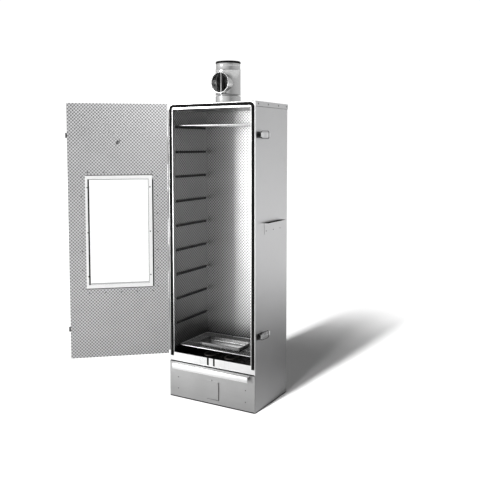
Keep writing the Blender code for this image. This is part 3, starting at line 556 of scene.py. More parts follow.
# Drip tray
# A shallow tray pressed from one steel sheet, with rounded corners and a turned-down rim. It
# rests on the lower rack.
tray_low, tray_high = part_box("drip_tray")
RIM_OUT, RIM_DOWN, TRAY_SHEET = 0.0035, 0.0022, 0.0009
inside = Vector((RIM_OUT, RIM_OUT, 0.0))
low, high = tray_low + inside, tray_high - inside
bm = cuboid(low, high)
bm.normal_update()
lid = [f for f in bm.faces if f.normal.z > 0.9]
bmesh.ops.delete(bm, geom=lid, context="FACES")
ease(bm, [e for e in bm.edges if abs(e.verts[0].co.z - e.verts[1].co.z) > 0.01], 0.012, 5)
foot = [
    e
    for e in bm.edges
    if all(v.co.z < low.z + 1e-5 for v in e.verts) and len(e.link_faces) == 2
]
ease(bm, foot, 0.004, 3)
middle = (low + high) / 2
for out_by, down_by in ((RIM_OUT, 0.0), (0.0, RIM_DOWN)):
    edge = [e for e in bm.edges if e.is_boundary]
    new = bmesh.ops.extrude_edge_only(bm, edges=edge)["geom"]
    for v in (g for g in new if isinstance(g, bmesh.types.BMVert)):
        away = Vector((v.co.x - middle.x, v.co.y - middle.y))
        half = Vector(((high.x - low.x) / 2, (high.y - low.y) / 2))
        v.co.x += math.copysign(out_by, away.x) if abs(away.x) > half.x - 0.013 else 0.0
        v.co.y += math.copysign(out_by, away.y) if abs(away.y) > half.y - 0.013 else 0.0
        v.co.z -= down_by
tray_steel = satin_steel("tray_steel", 0.30, stretch=LEVEL_GRAIN, roughness=0.28, contrast=0.2)
tray = piece("drip_tray_pressing", bm, tray_steel, "tray", smooth=50)
wall = tray.modifiers.new("sheet", "SOLIDIFY")
wall.thickness, wall.offset = TRAY_SHEET, -1.0
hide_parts("drip_tray")

# Heating element
# A tube in a heat-darkened steel sheath, bent three times over the chamber's floor. Its ends are
# brazed into a plate on the back wall.
sheath = mottled(
    "element_sheath",
    (14.0, 4.0),
    ((0.05, 0.05, 0.055), (0.16, 0.14, 0.12)),
    (0.45, 0.62),
    Metallic=0.8,
)
element_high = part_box("heating_element")[1]
ELEMENT_R, PASS = 0.004, 0.030
pass_z, turn_y, root_y = 0.222, 0.080, element_high.y - 0.002
bends = [(-3 * PASS, root_y)] + arc((-2 * PASS, -turn_y), PASS, 180, 360, 16)
bends += arc((0.0, turn_y), PASS, 180, 0, 16) + arc((2 * PASS, -turn_y), PASS, 180, 360, 16)
bends += [(3 * PASS, root_y)]
parts = [wire([(x, y, pass_z) for x, y in bends], ELEMENT_R, resolution=5)]
plate = cuboid(
    (-0.105, element_high.y - 0.003, pass_z - 0.014), (0.105, element_high.y, pass_z + 0.014)
)
ease(plate, [e for e in plate.edges if abs(e.verts[0].co.y - e.verts[1].co.y) > 0.001], 0.006, 4)
parts.append(plate)
for x in (-3 * PASS, 3 * PASS):
    parts.append(bar((x, element_high.y - 0.008, pass_z), (x, element_high.y, pass_z), 0.0065, 20))
for x in (-0.045, 0.045):
    parts.append(domes([(x, element_high.y - 0.003, pass_z)], (0, -1, 0), 0.004, 0.0022))
element = piece("element_tube", merged(parts), sheath, "cabinet", smooth=50)
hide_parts("heating_element")

# Flue
# Spun duct parts: a riveted flange with its socket, a tee with rolled beads and a front branch,
# and a black lip seal near the top of the spigot.
FLUE_STEPS = 96
BRANCH_Z, BRANCH_MOUTH = 1.603, 0.082


def lathe(profile, place=(0, 0, 0), axis=(0, 0, 1), steps=FLUE_STEPS):
    """A (radius, height) outline spun round an axis. One that starts on the axis is a solid."""
    bm = bmesh.new()
    ring = [bm.verts.new((r, 0.0, h)) for r, h in profile]
    closed = profile[0][0] > 0.0
    loop = [bm.edges.new(pair) for pair in zip(ring, ring[1:] + ring[:1] * closed)]
    bmesh.ops.spin(
        bm,
        geom=ring + loop,
        cent=(0, 0, 0),
        axis=(0, 0, 1),
        angle=math.tau,
        steps=steps,
        use_merge=True,
    )
    bmesh.ops.remove_doubles(bm, verts=bm.verts, dist=1e-6)
    aim = Vector((0, 0, 1)).rotation_difference(Vector(axis)).to_matrix().to_4x4()
    bmesh.ops.transform(bm, matrix=Matrix.Translation(Vector(place)) @ aim, verts=bm.verts)
    bmesh.ops.recalc_face_normals(bm, faces=bm.faces)
    return bm


def carved(base, *steps):
    """base joined to or cut by other closed bodies, in order, as one mesh."""
    helpers = []
    for bm in (base, *(tool for _, tool in steps)):
        mesh = bpy.data.meshes.new("body")
        bmesh.ops.recalc_face_normals(bm, faces=bm.faces)
        bm.to_mesh(mesh)
        bm.free()
        helpers.append(bpy.data.objects.new("body", mesh))
        bpy.context.scene.collection.objects.link(helpers[-1])
    for (operation, _), tool in zip(steps, helpers[1:]):
        change = helpers[0].modifiers.new("change", "BOOLEAN")
        change.operation, change.object = operation, tool
    mesh = meshed(helpers[0])
    for helper in helpers:
        bpy.data.objects.remove(helper)
    return mesh


def bead(radius, height, out_by, half=0.0032, steps=6):
    """A rolled bead in an outline: half a ripple of the wall."""
    ripple = [(i / steps * 2 - 1) for i in range(steps + 1)]
    return [(radius + out_by * math.cos(t * math.pi / 2) ** 2, height + t * half) for t in ripple]


duct_steel = satin_steel("duct_steel", 0.50, stretch=(60.0, 60.0, 900.0), roughness=0.20)
SPIGOT_R, TEE_R, DUCT_SHEET = 0.0605, 0.0625, 0.0012
tee_low, tee_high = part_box("flue_tee")
LOWER_BEAD_Z, UPPER_BEAD_Z, SPIGOT_BEAD_Z, STEP = 1.547, 1.669, 1.692, 0.0035
outline = [(0.0, tee_low.z), (SPIGOT_R, tee_low.z), (SPIGOT_R, LOWER_BEAD_Z - 2 * STEP)]
outline += [(TEE_R, LOWER_BEAD_Z - STEP), *bead(TEE_R, LOWER_BEAD_Z, 0.0018)]
outline += [*bead(TEE_R, UPPER_BEAD_Z, 0.0018), (TEE_R, UPPER_BEAD_Z + STEP)]
outline += [(SPIGOT_R, UPPER_BEAD_Z + 2 * STEP), *bead(SPIGOT_R, SPIGOT_BEAD_Z, 0.0010, 0.0024)]
outline += [(SPIGOT_R, tee_high.z), (0.0, tee_high.z)]
BRANCH_R = 0.050
branch_outline = [(0.0, 0.0), (BRANCH_R, 0.0), (BRANCH_R, BRANCH_MOUTH), (0.0, BRANCH_MOUTH)]
branch_base, forward = (0.0, 0.0, BRANCH_Z), (0, -1, 0)
AXLE_Y, AXLE_R, AXLE_HALF = -0.070, 0.004, 0.055
axle_low, axle_high = (0.0, AXLE_Y, BRANCH_Z - AXLE_HALF), (0.0, AXLE_Y, BRANCH_Z + AXLE_HALF)
tee_mesh = carved(
    lathe(outline),
    ("UNION", lathe(branch_outline, branch_base, forward)),
    ("DIFFERENCE", bar((0, 0, 1.45), (0, 0, 1.75), SPIGOT_R - DUCT_SHEET, FLUE_STEPS)),
    ("DIFFERENCE", bar(axle_low, axle_high, AXLE_R + 0.0005, 24)),
    ("DIFFERENCE", bar(branch_base, (0, -0.12, BRANCH_Z), BRANCH_R - DUCT_SHEET, FLUE_STEPS)),
)
tee = piece("flue_tee_spun", tee_mesh, duct_steel, "cabinet", smooth=35)
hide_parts("flue_tee")
LIP_R = 0.0021
turns = [math.tau * i / 16 for i in range(16)]
lip = [(BRANCH_R + 0.0001 + LIP_R * math.cos(a), LIP_R * math.sin(a)) for a in turns]
rolled = lathe(lip, (0.0, -BRANCH_MOUTH + LIP_R, BRANCH_Z), forward)
piece("branch_rolled_lip", rolled, duct_steel, "cabinet")

flange_low, flange_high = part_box("flue_flange")
SOCKET_R, FLANGE_TOP, FLANGE_PLATE = 0.0632, 1.5045, 0.0042
half_x, half_y = (flange_high.x - flange_low.x) / 2, (flange_high.y - flange_low.y) / 2
flange = cuboid((-half_x, -half_y, FLANGE_TOP - FLANGE_PLATE), (half_x, half_y, FLANGE_TOP))
ease(flange, [e for e in flange.edges if abs(e.verts[0].co.z - e.verts[1].co.z) > 0.002], 0.010, 5)
ease(flange, [e for e in flange.edges if all(v.co.z > FLANGE_TOP - 1e-5 for v in e.verts)], 0.0008)
collar_top = flange_high.z
collar = [(0.0, FLANGE_TOP - 0.002), (SOCKET_R + 0.0025, FLANGE_TOP - 0.002)]
collar += [(SOCKET_R + 0.0025, FLANGE_TOP), (SOCKET_R + 0.0006, FLANGE_TOP + 0.0019)]
collar += [(SOCKET_R, FLANGE_TOP + 0.005), (SOCKET_R, collar_top - 0.0006)]
collar += [(SOCKET_R - 0.0005, collar_top), (0.0, collar_top)]
flange_mesh = carved(
    flange,
    ("UNION", lathe(collar)),
    ("DIFFERENCE", bar((0, 0, 1.48), (0, 0, 1.56), SOCKET_R - DUCT_SHEET, FLUE_STEPS)),
)
flange = piece("flue_flange_spun", flange_mesh, duct_steel, "cabinet", smooth=35)
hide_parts("flue_flange")
RIVET_OUT = 0.072
places = [(x, y, FLANGE_TOP) for x in (-RIVET_OUT, RIVET_OUT) for y in (-RIVET_OUT, RIVET_OUT)]
heads = domes(places, (0, 0, 1), 0.0038, 0.0019)
piece("flange_rivets", heads, rivet_steel, "cabinet")

seal_low, seal_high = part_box("flue_seal")
ring_in, LIP_TIP_R, LIP_PITCH = SPIGOT_R + 0.0003, 0.0630, 0.0046
lips = [(ring_in, seal_low.z), (ring_in + 0.0008, seal_low.z)]
for i in range(2):
    base = seal_low.z + 0.0008 + i * LIP_PITCH
    lips += [(ring_in + 0.0010, base), (LIP_TIP_R, base + 0.0012), (LIP_TIP_R, base + 0.0020)]
    lips += [(ring_in + 0.0010, base + 0.0036)]
lips += [(ring_in + 0.0008, seal_high.z), (ring_in, seal_high.z)]
ring = piece("flue_lip_seal", lathe(lips), rubber, "cabinet", smooth=50)
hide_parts("flue_seal")

# Damper
# A thin dark disc on a bright axle across the branch. It stands edge-on to the opening when
# open, and two studs hold it to the axle.
BLADE_R, BLADE_HALF, RIM_HALF = 0.0462, 0.0006, 0.0013
near_side = [(0.0, -BLADE_HALF), (BLADE_R - 0.0012, -BLADE_HALF)]
near_side += [(BLADE_R - 0.0006, -RIM_HALF), (BLADE_R, -BLADE_HALF)]
disc = near_side + [(r, -h) for r, h in near_side[::-1]]
blade = lathe(disc, (0.0, AXLE_Y, BRANCH_Z), (1, 0, 0))
shaft = bar(axle_low, axle_high, AXLE_R, 24)
ends = [face for face in shaft.faces if len(face.verts) > 4]
ease(shaft, [e for e in shaft.edges if any(face in ends for face in e.link_faces)], 0.0006)
studs = domes([(0.0040, AXLE_Y, BRANCH_Z + z) for z in (-0.022, 0.022)], (1, 0, 0), 0.0030, 0.0014)
ACROSS_GRAIN = (900.0, 900.0, 60.0)
damper_steel = satin_steel("damper_steel", 0.90, stretch=ACROSS_GRAIN, roughness=0.24)
dark_disc_steel = satin_steel("sooted_damper_steel", 0.16, stretch=ACROSS_GRAIN, contrast=0.3)
damper = piece("damper_disc", merged([blade, studs]), dark_disc_steel, "damper")
piece("damper_axle", shaft, damper_steel, "damper")
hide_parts("damper_blade")

# Side ledges
# A folded steel ledge riveted to each side, to carry the cabinet by. A black strip along its top
# edge is painted shade over the ledge.
finish_nodes(steel_level, "side_handle_left", "side_handle_right")
SHELL_SIDE, LEDGE_RIVET_Z = 0.2515, 0.877
for side, sign in (("left", -1), ("right", 1)):
    low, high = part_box(f"side_handle_{side}")
    places = [(sign * SHELL_SIDE, y, LEDGE_RIVET_Z) for y in (-0.062, 0.0125, 0.087)]
    heads = domes(places, (sign, 0, 0), 0.0032, 0.0016)
    piece(f"ledge_rivets_{side}", heads, rivet_steel, "cabinet")
    reach = -low.x if side == "left" else high.x
    inner, outer = sorted((sign * (SHELL_SIDE + 0.0007), sign * (reach - 0.001)))
    ledge_shade_low = (inner, low.y + 0.002, high.z - 0.0004)
    ledge_shade_strip = block(ledge_shade_low, (outer, high.y - 0.002, high.z + 0.0010), 0.0004)
    piece(f"ledge_grip_{side}", ledge_shade_strip, rubber, "cabinet")

# Mains inlet
# A moulded black box over the element's terminals, with a recessed inlet. Four screws hold it to
# the cabinet's back.
plastic = mottled(
    "moulded_black_plastic",
    (30.0, 4.0),
    ((0.018, 0.018, 0.019), (0.042, 0.042, 0.042)),
    (0.40, 0.55),
    pores=(1600.0, 2.0),
    relief=(0.35, 0.0003),
)
finish_nodes(plastic, "power_inlet")
inlet_low, inlet_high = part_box("power_inlet")
places = [
    (x, inlet_high.y - 0.0012, z)
    for x in (inlet_low.x + 0.010, inlet_high.x - 0.010)
    for z in (inlet_low.z + 0.010, inlet_high.z - 0.010)
]
heads = domes(places, (0, 1, 0), 0.0036, 0.0012)
piece("inlet_screws", heads, rivet_steel, "cabinet")

# Drawer
# A folded front with a full-width pull strip, a box for ash and a black chip pan in it. The
# air-inlet cover turns on one rivet over the hole in the front.
drawer_steel = satin_steel("drawer_steel", 0.42, stretch=LEVEL_GRAIN)
finish_nodes(drawer_steel, "drawer_front", "drawer_box", "vent_cover")
DRAWER_FACE = -0.1740
places = [(x, DRAWER_FACE, z) for x in (-0.198, 0.198) for z in (0.107, 0.048)]
places += [(0.005, DRAWER_FACE, 0.1235)]
heads = domes(places, (0, -1, 0), 0.0034, 0.0015)
piece("drawer_rivets", heads, rivet_steel, "drawer")
PULL_HALF, PULL_FRONT, LIP_BOTTOM, PULL_TOP = 0.2205, -0.1964, 0.1540, 0.1812
strip_back = PULL_FRONT + 0.0009
facing = block((-PULL_HALF, PULL_FRONT, LIP_BOTTOM), (PULL_HALF, strip_back, PULL_TOP), 0.0002)
bright_steel = satin_steel("pull_lip_steel", 0.94, stretch=LEVEL_GRAIN, contrast=0.05)
piece("pull_lip_facing", facing, bright_steel, "drawer")
drawer_low, drawer_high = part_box("drawer_front")
# A black strip along the drawer front's foot is painted shade under the drawer.
drawer_foot_shade = block(
    (drawer_low.x + 0.001, DRAWER_FACE - 0.0005, drawer_low.z),
    (drawer_high.x - 0.001, DRAWER_FACE + 0.0004, drawer_low.z + 0.0045),
    0.0002,
)
piece("drawer_foot_hem", drawer_foot_shade, rubber, "drawer")
vent_low, vent_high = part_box("vent_cover")
# Dark strips along the cover's right and lower edges are painted shade at its edges.
EDGE_SHADE_FRONT, EDGE_SHADE_BACK, EDGE_SHADE_W = vent_low.y - 0.0002, vent_low.y + 0.0006, 0.002
upright_edge_shade = block(
    (vent_high.x - 0.0022, EDGE_SHADE_FRONT, vent_low.z + EDGE_SHADE_W),
    (vent_high.x, EDGE_SHADE_BACK, vent_high.z - 0.004),
    0.0001,
)
level_edge_shade = block(
    (vent_low.x + 0.004, EDGE_SHADE_FRONT, vent_low.z),
    (vent_high.x - EDGE_SHADE_W, EDGE_SHADE_BACK, vent_low.z + EDGE_SHADE_W),
    0.0001,
)
piece("vent_cover_hem", merged([upright_edge_shade, level_edge_shade]), rivet_steel, "vent")

enamel = mottled(
    "black_steel",
    (45.0, 4.0),
    ((0.014, 0.014, 0.014), (0.060, 0.060, 0.060)),
    (0.48, 0.34),
    stops=(0.50, 0.78),
    pores=(500.0, 3.0),
    relief=(0.25, 0.0002),
    Metallic=0.6,
)
finish_nodes(enamel, "chip_pan")

# Door
# An outer skin and an embossed liner riveted together round mineral wool, with a glass window
# between two folded frames. It hangs open, turned about the long hinge on the left.
hinge = next(joint for joint in frame["joints"] if joint["name"] == "door_swing")
PIN = Vector((hinge["pos_m"][0], hinge["pos_m"][1], 0.0))
OPEN = math.radians(139)
DOOR_TURN = Matrix.Translation(PIN) @ Matrix.Rotation(-OPEN, 4, "Z") @ Matrix.Translation(-PIN)
on_door = {"turn": OPEN, "centre": PIN}
skin_steel = satin_steel("door_skin_steel", **on_door)
strip_steel = satin_steel("window_strip_steel", 0.86, **on_door)
liner_door_steel = embossed_steel("embossed_door_liner", 0.0005, **on_door)
finish_nodes(skin_steel, "door_skin", "hinge_leaf_door")
finish_nodes(liner_door_steel, "door_liner")
finish_nodes(strip_steel, "window_frame_inner", "window_frame_outer")
finish_nodes(steel_upright, "hinge_leaf_cabinet")


def door_piece(name, bm, made, smooth=40):
    """A piece of the door, drawn where it lies when the door is shut, then swung open with it."""
    bmesh.ops.transform(bm, matrix=DOOR_TURN, verts=bm.verts)
    return piece(name, bm, made, "door", smooth)


DOOR_LEFT, LINER_FACE, SKIN_FACE = -0.2500, -0.1750, -0.2050
SIDE_ROW_Z = (1.137, 1.041, 0.950, 0.856, 0.764, 0.669, 0.575)
LEVEL_ROW_S = (0.078, 0.159, 0.238, 0.317, 0.396)
places = [(DOOR_LEFT + s, LINER_FACE, z) for s in (0.053, 0.427) for z in SIDE_ROW_Z]
places += [(DOOR_LEFT + s, LINER_FACE, z) for z in (1.160, 0.553) for s in LEVEL_ROW_S]
heads = domes(places, (0, 1, 0), 0.0036, 0.0016)
door_piece("door_liner_rivets", heads, rivet_steel)
STRIP_FACE, OUTER_STRIP_FACE = LINER_FACE + 0.0015, SKIN_FACE - 0.0015
spots = [(DOOR_LEFT + s, z) for s in (0.0895, 0.3985) for z in (1.084, 0.859, 0.637)]
screws = domes([(x, STRIP_FACE, z) for x, z in spots], (0, 1, 0), 0.0036, 0.0016)
door_piece("inner_strip_screws", screws, rivet_steel)
spots += [(DOOR_LEFT + s, z) for s in (0.17, 0.318) for z in (1.1325, 0.5865)]
screws = domes([(x, OUTER_STRIP_FACE, z) for x, z in spots], (0, -1, 0), 0.0036, 0.0016)
door_piece("outer_strip_screws", screws, rivet_steel)

WINDOW_LEFT, WINDOW_RIGHT, WINDOW_BOTTOM, WINDOW_TOP = -0.1500, 0.1380, 0.597, 1.122
# Black strips along the window's edges and outside its frame are painted shadow, cast by the raised
# frame on the glass's rim and on the liner.
SHADOW_BACK, SHADOW_FACE = LINER_FACE + 0.0002, LINER_FACE + 0.0028
SHADOW_W, WIDE_SHADOW_W, STRIP_OUT, STRIP_SHADE = 0.002, 0.008, 0.0212, 0.003
left, right = WINDOW_LEFT - 0.003, WINDOW_RIGHT + 0.009
bottom, top = WINDOW_BOTTOM - 0.003, WINDOW_TOP + 0.003
strip_left, strip_right = WINDOW_LEFT - STRIP_OUT, WINDOW_RIGHT + STRIP_OUT
strip_bottom, strip_top = WINDOW_BOTTOM - STRIP_OUT, WINDOW_TOP + STRIP_OUT
runs = (
    (right - WIDE_SHADOW_W, right, bottom, top),
    (left, left + SHADOW_W, bottom, top),
    (left, right, top - SHADOW_W, top),
    (left, right, bottom, bottom + SHADOW_W),
    (strip_left - 2 * STRIP_SHADE, strip_left, strip_bottom, WINDOW_TOP),
    (strip_left - 2 * STRIP_SHADE, strip_right, strip_top, strip_top + STRIP_SHADE),
    (strip_left, strip_right, strip_bottom - STRIP_SHADE, strip_bottom),
)
frame_shadow_runs = [
    block((low_x, SHADOW_BACK, low_z), (high_x, SHADOW_FACE, high_z), 0.0004)
    for low_x, high_x, low_z, high_z in runs
]
door_piece("window_edge_seal", merged(frame_shadow_runs), rubber)

glass, tree, shader = new_material("tempered_glass")
shader.inputs["Base Color"].default_value = (0.97, 0.98, 0.975, 1.0)
shader.inputs["Roughness"].default_value = 0.0
shader.inputs["IOR"].default_value = 1.45
shader.inputs["Transmission Weight"].default_value = 1.0
finish_nodes(glass, "window_glass")

# Thermometer
# A round dial in a steel case on the door's outer face, with a plain scale. Its stem passes
# through the door, and a black wing nut holds it inside.
DIAL_X, DIAL_Z, DIAL_R, DIAL_DEPTH = DOOR_LEFT + 0.245, 1.309, 0.038, 0.012
case_back = SKIN_FACE - 0.0003
case_front = case_back - DIAL_DEPTH
profile = [(0.0, case_back), (DIAL_R - 0.0010, case_back), (DIAL_R, case_back - 0.0010)]
profile += [(DIAL_R, case_front + 0.0020), (DIAL_R - 0.0012, case_front + 0.0004)]
profile += [(DIAL_R - 0.0026, case_front), (DIAL_R - 0.0040, case_front + 0.0008)]
profile += [(DIAL_R - 0.0044, case_front + 0.0040), (0.0, case_front + 0.0040)]
turned = [(r, -y) for r, y in profile[::-1]]
case = lathe(turned, (DIAL_X, 0, DIAL_Z), (0, -1, 0), 72)
bezel_steel = satin_steel("dial_case_steel", stretch=(60.0, 60.0, 60.0), roughness=0.20, **on_door)
case = door_piece("dial_case", case, bezel_steel, smooth=30)
STEM_TIP, STEM_R = -0.158, 0.0030
profile = [(0.0, STEM_TIP), (0.0022, STEM_TIP - 0.0005), (STEM_R, STEM_TIP - 0.002)]
profile += [(STEM_R, case_back), (0.0, case_back)]
stem = lathe(profile, (DIAL_X, 0, DIAL_Z), (0, 1, 0), 24)
door_piece("thermometer_stem", stem, bezel_steel)
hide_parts("thermometer")

card = mottled("dial_card", (700.0, 2.0), ((0.78, 0.78, 0.76), (0.86, 0.86, 0.84)), 0.6)
ink = mottled("dial_ink", (900.0, 2.0), ((0.010, 0.010, 0.010), (0.030, 0.030, 0.030)), 0.5)

FACE_Y = case_front + 0.0038
face = bmesh.new()
FACING_OUT = Matrix.Rotation(math.pi / 2, 4, "X")
aim = Matrix.Translation((DIAL_X, FACE_Y, DIAL_Z)) @ FACING_OUT
bmesh.ops.create_cone(
    face, cap_ends=True, segments=64, radius1=0.0332, radius2=0.0332, depth=0.0004, matrix=aim
)
door_piece("dial_card_disc", face, card)
ticks = bmesh.new()
SWEEP_START, SWEEP, TICKS, TICK_RIM, NUMBER_RING = 225.0, -270.0, 30, 0.0310, 0.0208
for i in range(TICKS + 1):
    t = math.radians(SWEEP_START + SWEEP * i / TICKS)
    long, width = (0.0052, 0.0009) if i % 5 == 0 else (0.0030, 0.0005)
    middle = TICK_RIM - long / 2
    at = Matrix.Translation((DIAL_X, FACE_Y - 0.0003, DIAL_Z)) @ Matrix.Rotation(-t, 4, "Y")
    at = at @ Matrix.Translation((middle, 0, 0)) @ Matrix.Diagonal((long, 0.0002, width, 1.0))
    bmesh.ops.create_cube(ticks, size=1.0, matrix=at)
parts = [ticks]
for i, label in enumerate(("0", "50", "100", "150", "200", "250", "300")):
    t = math.radians(SWEEP_START + SWEEP * i / 6)
    words = bpy.data.curves.new("number", "FONT")
    words.body, words.size, words.extrude = label, 0.0062, 0.0001
    words.align_x, words.align_y = "CENTER", "CENTER"
    drawn = bpy.data.objects.new("number", words)
    bpy.context.scene.collection.objects.link(drawn)
    mesh = meshed(drawn)
    bpy.data.objects.remove(drawn)
    number = bmesh.new()
    number.from_mesh(mesh)
    x, z = DIAL_X + NUMBER_RING * math.cos(t), DIAL_Z + NUMBER_RING * math.sin(t)
    stand = Matrix.Translation((x, FACE_Y - 0.0003, z)) @ FACING_OUT
    bmesh.ops.transform(number, matrix=stand, verts=number.verts)
    parts.append(number)
needle = bmesh.new()
NEEDLE_TURN, NEEDLE_OUT = math.radians(-200), 0.010
at = Matrix.Translation((DIAL_X, FACE_Y - 0.0009, DIAL_Z)) @ Matrix.Rotation(NEEDLE_TURN, 4, "Y")
at = at @ Matrix.Translation((NEEDLE_OUT, 0, 0)) @ Matrix.Rotation(math.pi / 2, 4, "Y")
at = at @ Matrix.Diagonal((1, 0.25, 1, 1))
bmesh.ops.create_cone(
    needle, cap_ends=True, segments=4, radius1=0.0014, radius2=0.0002, depth=0.034, matrix=at
)
hub = bar((DIAL_X, FACE_Y - 0.0016, DIAL_Z), (DIAL_X, FACE_Y, DIAL_Z), 0.0026, 24)
door_piece("dial_marks", merged([*parts, needle, hub]), ink)
lens = bmesh.new()
aim = Matrix.Translation((DIAL_X, case_front + 0.0014, DIAL_Z)) @ FACING_OUT
bmesh.ops.create_cone(
    lens, cap_ends=True, segments=64, radius1=0.0336, radius2=0.0336, depth=0.0010, matrix=aim
)
door_piece("dial_glass", lens, glass)

nut_low, nut_high = LINER_FACE + 0.0003, LINER_FACE + 0.009
boss = [(0.0, nut_low), (0.0075, nut_low), (0.0070, nut_low + 0.003), (0.0058, nut_high)]
boss.append((0.0, nut_high))
nut = lathe(boss, (DIAL_X, 0, DIAL_Z), (0, 1, 0), 32)
wings, WING_OUT, WING_HALF = [], 0.0092, Vector((0.00525, 0.00475, 0.0017))
nut_turn = Matrix.Translation((DIAL_X, 0, DIAL_Z)) @ Matrix.Rotation(math.radians(45), 4, "Y")
for sign in (-1, 1):
    middle = Vector((sign * WING_OUT, nut_low + 0.0075, 0.0))
    wing = cuboid(middle - WING_HALF, middle + WING_HALF)
    ease(wing, wing.edges[:], 0.0014, 3)
    bmesh.ops.transform(wing, matrix=nut_turn, verts=wing.verts)
    wings.append(wing)
wing_nut = door_piece("wing_nut_moulding", merged([nut, *wings]), enamel)
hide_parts("thermometer_wing_nut")

# Long hinge
# Two long steel leaves on one pin. Flat rivets hold one to the cabinet's left side and the other
# to the door's edge, set apart so that their heads clear each other.
LEAF_FACE, DOOR_LEAF_FACE = -SHELL_SIDE, DOOR_LEFT - 0.0012
LEAF_RIVETS_Z = [0.270 + i * 0.1463 for i in range(9)]
heads = domes([(LEAF_FACE, -0.158, z) for z in LEAF_RIVETS_Z], (-1, 0, 0), 0.003, 0.0005)
piece("hinge_rivets_cabinet", heads, rivet_steel, "cabinet")
places = [(DOOR_LEAF_FACE, -0.192, z + 0.02) for z in LEAF_RIVETS_Z]
heads = domes(places, (-1, 0, 0), 0.003, 0.0005)
door_piece("hinge_rivets_door", heads, rivet_steel)

# Latches
# Black toggle latches on the right side: a riveted base, a bright lever and a black wire bail
# that hooks over the keeper on the door's edge.
finish_nodes(enamel, "latch_base_upper", "latch_base_lower", "keeper_upper", "keeper_lower")
finish_nodes(plated, "latch_lever_upper", "latch_lever_lower")
LATCH_X, BAIL_PIN_Y, BAIL_LENGTH, BAIL_HALF, BAIL_R = 0.262, -0.130, 0.0585, 0.018, 0.0015
for where in ("upper", "lower"):
    low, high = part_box(f"latch_base_{where}")
    z = (low.z + high.z) / 2
    spots = ((-0.150, 0.0085), (-0.150, -0.0085), (-0.112, 0.0))
    places = [(SHELL_SIDE, y, z + dz) for y, dz in spots]
    heads = domes(places, (1, 0, 0), 0.0026, 0.0013)
    piece(f"latch_rivets_{where}", heads, rivet_steel, "cabinet")
    far, c = BAIL_PIN_Y + BAIL_LENGTH, 0.008
    run = [(BAIL_PIN_Y, -0.0080), (BAIL_PIN_Y, 0.003 - BAIL_HALF), (BAIL_PIN_Y + 0.003, -BAIL_HALF)]
    run += arc((far - c, -BAIL_HALF + c), c, -90, 0, 8) + arc((far - c, BAIL_HALF - c), c, 0, 90, 8)
    run += [(BAIL_PIN_Y + 0.003, BAIL_HALF), (BAIL_PIN_Y, BAIL_HALF - 0.003), (BAIL_PIN_Y, 0.0080)]
    bm = wire([(LATCH_X, y, z + dz) for y, dz in run], BAIL_R)
    hang = Matrix.Translation((LATCH_X, BAIL_PIN_Y, 0)) @ Matrix.Rotation(math.radians(-8), 4, "Z")
    hang = hang @ Matrix.Translation((-LATCH_X, -BAIL_PIN_Y, 0))
    bmesh.ops.transform(bm, matrix=hang, verts=bm.verts)
    bail = piece(f"latch_bail_wire_{where}", bm, enamel, f"{where}_bail", smooth=60)
    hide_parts(f"latch_bail_{where}")

# Studio
# A wide pale floor under a white room. A column of far lamps draws the cabinet's shadow on the
# floor only, a large soft lamp from the front left lights the cabinet's inside and fittings, and
# a smaller one from the right lights the door.
floor_bm = bmesh.new()
bmesh.ops.create_circle(floor_bm, cap_ends=True, segments=96, radius=40.0)
floor_mesh = bpy.data.meshes.new("floor")
floor_bm.to_mesh(floor_mesh)
floor_bm.free()
floor = bpy.data.objects.new("floor", floor_mesh)
floor.location.z = -0.0005
bpy.context.scene.collection.objects.link(floor)
paper, tree, shader = new_material("pale_floor")
mottle = put(tree, "TexNoise", {"Vector": position(tree), "Scale": 3.0, "Detail": 3.0})
white = put(tree, "ValToRGB", {0: mottle.outputs[0]})
white.color_ramp.elements[0].color = (0.86, 0.86, 0.86, 1.0)
white.color_ramp.elements[1].color = (0.90, 0.90, 0.90, 1.0)
# Seen in reflections and by bounced light, the floor is painted darker round SHADE_CENTRE, behind
# and right of the cabinet: a painted shadow. The camera sees it plain pale.
SHADE_CENTRE = (0.5, 0.9, 0.0)
apart = put(
    tree, "VectorMath", {0: position(tree), 1: SHADE_CENTRE}, operation="DISTANCE"
).outputs["Value"]
reflected_floor_shade = ranged(tree, apart, (0.2, 2.6), (0.12, 0.88))


def seen_directly(tree):
    """One for what the camera sees, straight or through glass."""
    rays = put(tree, "LightPath").outputs
    return math_node(tree, "MAXIMUM", rays["Is Camera Ray"], rays["Is Transmission Ray"])


direct = seen_directly(tree)
tone = put(tree, "Mix", {0: direct, 6: reflected_floor_shade, 7: white.outputs[0]}, data_type="RGBA").outputs[2]
tree.links.new(tone, shader.inputs["Base Color"])
shader.inputs["Roughness"].default_value = 0.9
shader.inputs["Specular IOR Level"].default_value = 0.0
floor_mesh.materials.append(paper)

world = bpy.data.worlds.new("white_room")
bpy.context.scene.world = world
world.use_nodes = True
tree = world.node_tree
look = put(tree, "TexCoord").outputs["Generated"]
LEFT_FRONT = Vector((-0.60, -0.80, 0.0))
toward = put(tree, "VectorMath", {0: look, 1: LEFT_FRONT}, operation="DOT_PRODUCT").outputs["Value"]
gloss = math_node(
    tree,
    "ADD",
    ranged(tree, toward, (0.0, 1.0), (0.42, 1.30)),
    ranged(tree, toward, (0.0, -1.0), (0.0, 0.40)),
)
ROOM_LIGHT, BACKDROP_LIGHT = 0.15, 1.06
diffuse = put(tree, "LightPath").outputs["Is Diffuse Ray"]
seen = put(tree, "Mix", {0: diffuse, 2: gloss, 3: ROOM_LIGHT}).outputs[0]
seen = put(tree, "Mix", {0: seen_directly(tree), 2: seen, 3: BACKDROP_LIGHT}).outputs[0]
backdrop = tree.nodes["Background"]
backdrop.inputs["Color"].default_value = (1.0, 1.0, 1.0, 1.0)
tree.links.new(seen, backdrop.inputs["Strength"])


def aimed(name, light, source, target):
    lamp = bpy.data.objects.new(name, light)
    bpy.context.scene.collection.objects.link(lamp)
    lamp.location = source
    lamp.rotation_mode = "QUATERNION"
    lamp.rotation_quaternion = (Vector(target) - Vector(source)).to_track_quat("-Z", "Y")
    return lamp


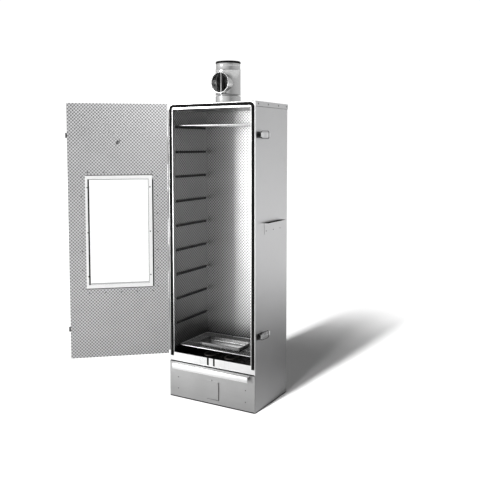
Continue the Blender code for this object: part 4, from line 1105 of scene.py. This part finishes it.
# Each far lamp: its height in degrees, its sideways drift and its share of the floor's light
DRIFT, FLOOR_LIGHT, LAMP_SPREAD = 0.078, 3.7, math.radians(4.2)
LAMP_COLUMN = [(32, DRIFT, 0.03), (32, -0.10, 0.03), (36, DRIFT, 0.08), (36, -0.06, 0.06)]
LAMP_COLUMN += [(40, DRIFT, 0.20), (44, DRIFT, 0.20), (48, DRIFT, 0.17), (52, DRIFT, 0.10)]
LAMP_COLUMN += [(56, DRIFT, 0.07), (60, DRIFT, 0.04), (64, DRIFT, 0.02)]
shadow_lamps = []
for elevation, drift, share in LAMP_COLUMN:
    climb = math.radians(elevation)
    lamp = bpy.data.lights.new(f"shadow_lamp_{elevation}", "SUN")
    lamp.energy, lamp.angle = FLOOR_LIGHT * share / math.sin(climb), LAMP_SPREAD
    shadow_lamps.append(aimed(lamp.name, lamp, (0, 0, 0), (drift, 1.0, -math.tan(climb))))
softbox = bpy.data.lights.new("softbox", "AREA")
softbox.shape, softbox.size, softbox.size_y, softbox.energy = "RECTANGLE", 0.9, 1.8, 58.0
SOFTBOX_AT, CHAMBER_MIDDLE = (-1.85, -2.35, 0.90), (0.0, 0.15, 0.80)
soft_lamp = aimed("softbox", softbox, SOFTBOX_AT, CHAMBER_MIDDLE)
fill = bpy.data.lights.new("fill", "AREA")
fill.shape, fill.size, fill.energy = "DISK", 0.9, 20.0
FILL_AT, DOOR_TOP = (3.1, -3.0, 2.4), (-0.3, -0.2, 1.3)
fill_lamp = aimed("fill", fill, FILL_AT, DOOR_TOP)

shown = [o for o in bpy.data.objects if body_of(o) and o.type == "MESH"]
casters = bpy.data.collections.new("shadow_casters")
for obj in shown:
    if body_of(obj) != ["door"]:
        casters.objects.link(obj)
ground = bpy.data.collections.new("ground")
ground.objects.link(floor)
for lamp in shadow_lamps:
    lamp.light_linking.blocker_collection = casters
    lamp.light_linking.receiver_collection = ground
swung = bpy.data.collections.new("door_pieces")
softly_lit = bpy.data.collections.new("softly_lit")
for obj in shown:
    if body_of(obj) == ["door"]:
        swung.objects.link(obj)
    elif obj.name not in ("outer_shell", "top_cover", "side_handle_left"):
        softly_lit.objects.link(obj)
soft_lamp.light_linking.receiver_collection = softly_lit
fill_lamp.light_linking.receiver_collection = swung
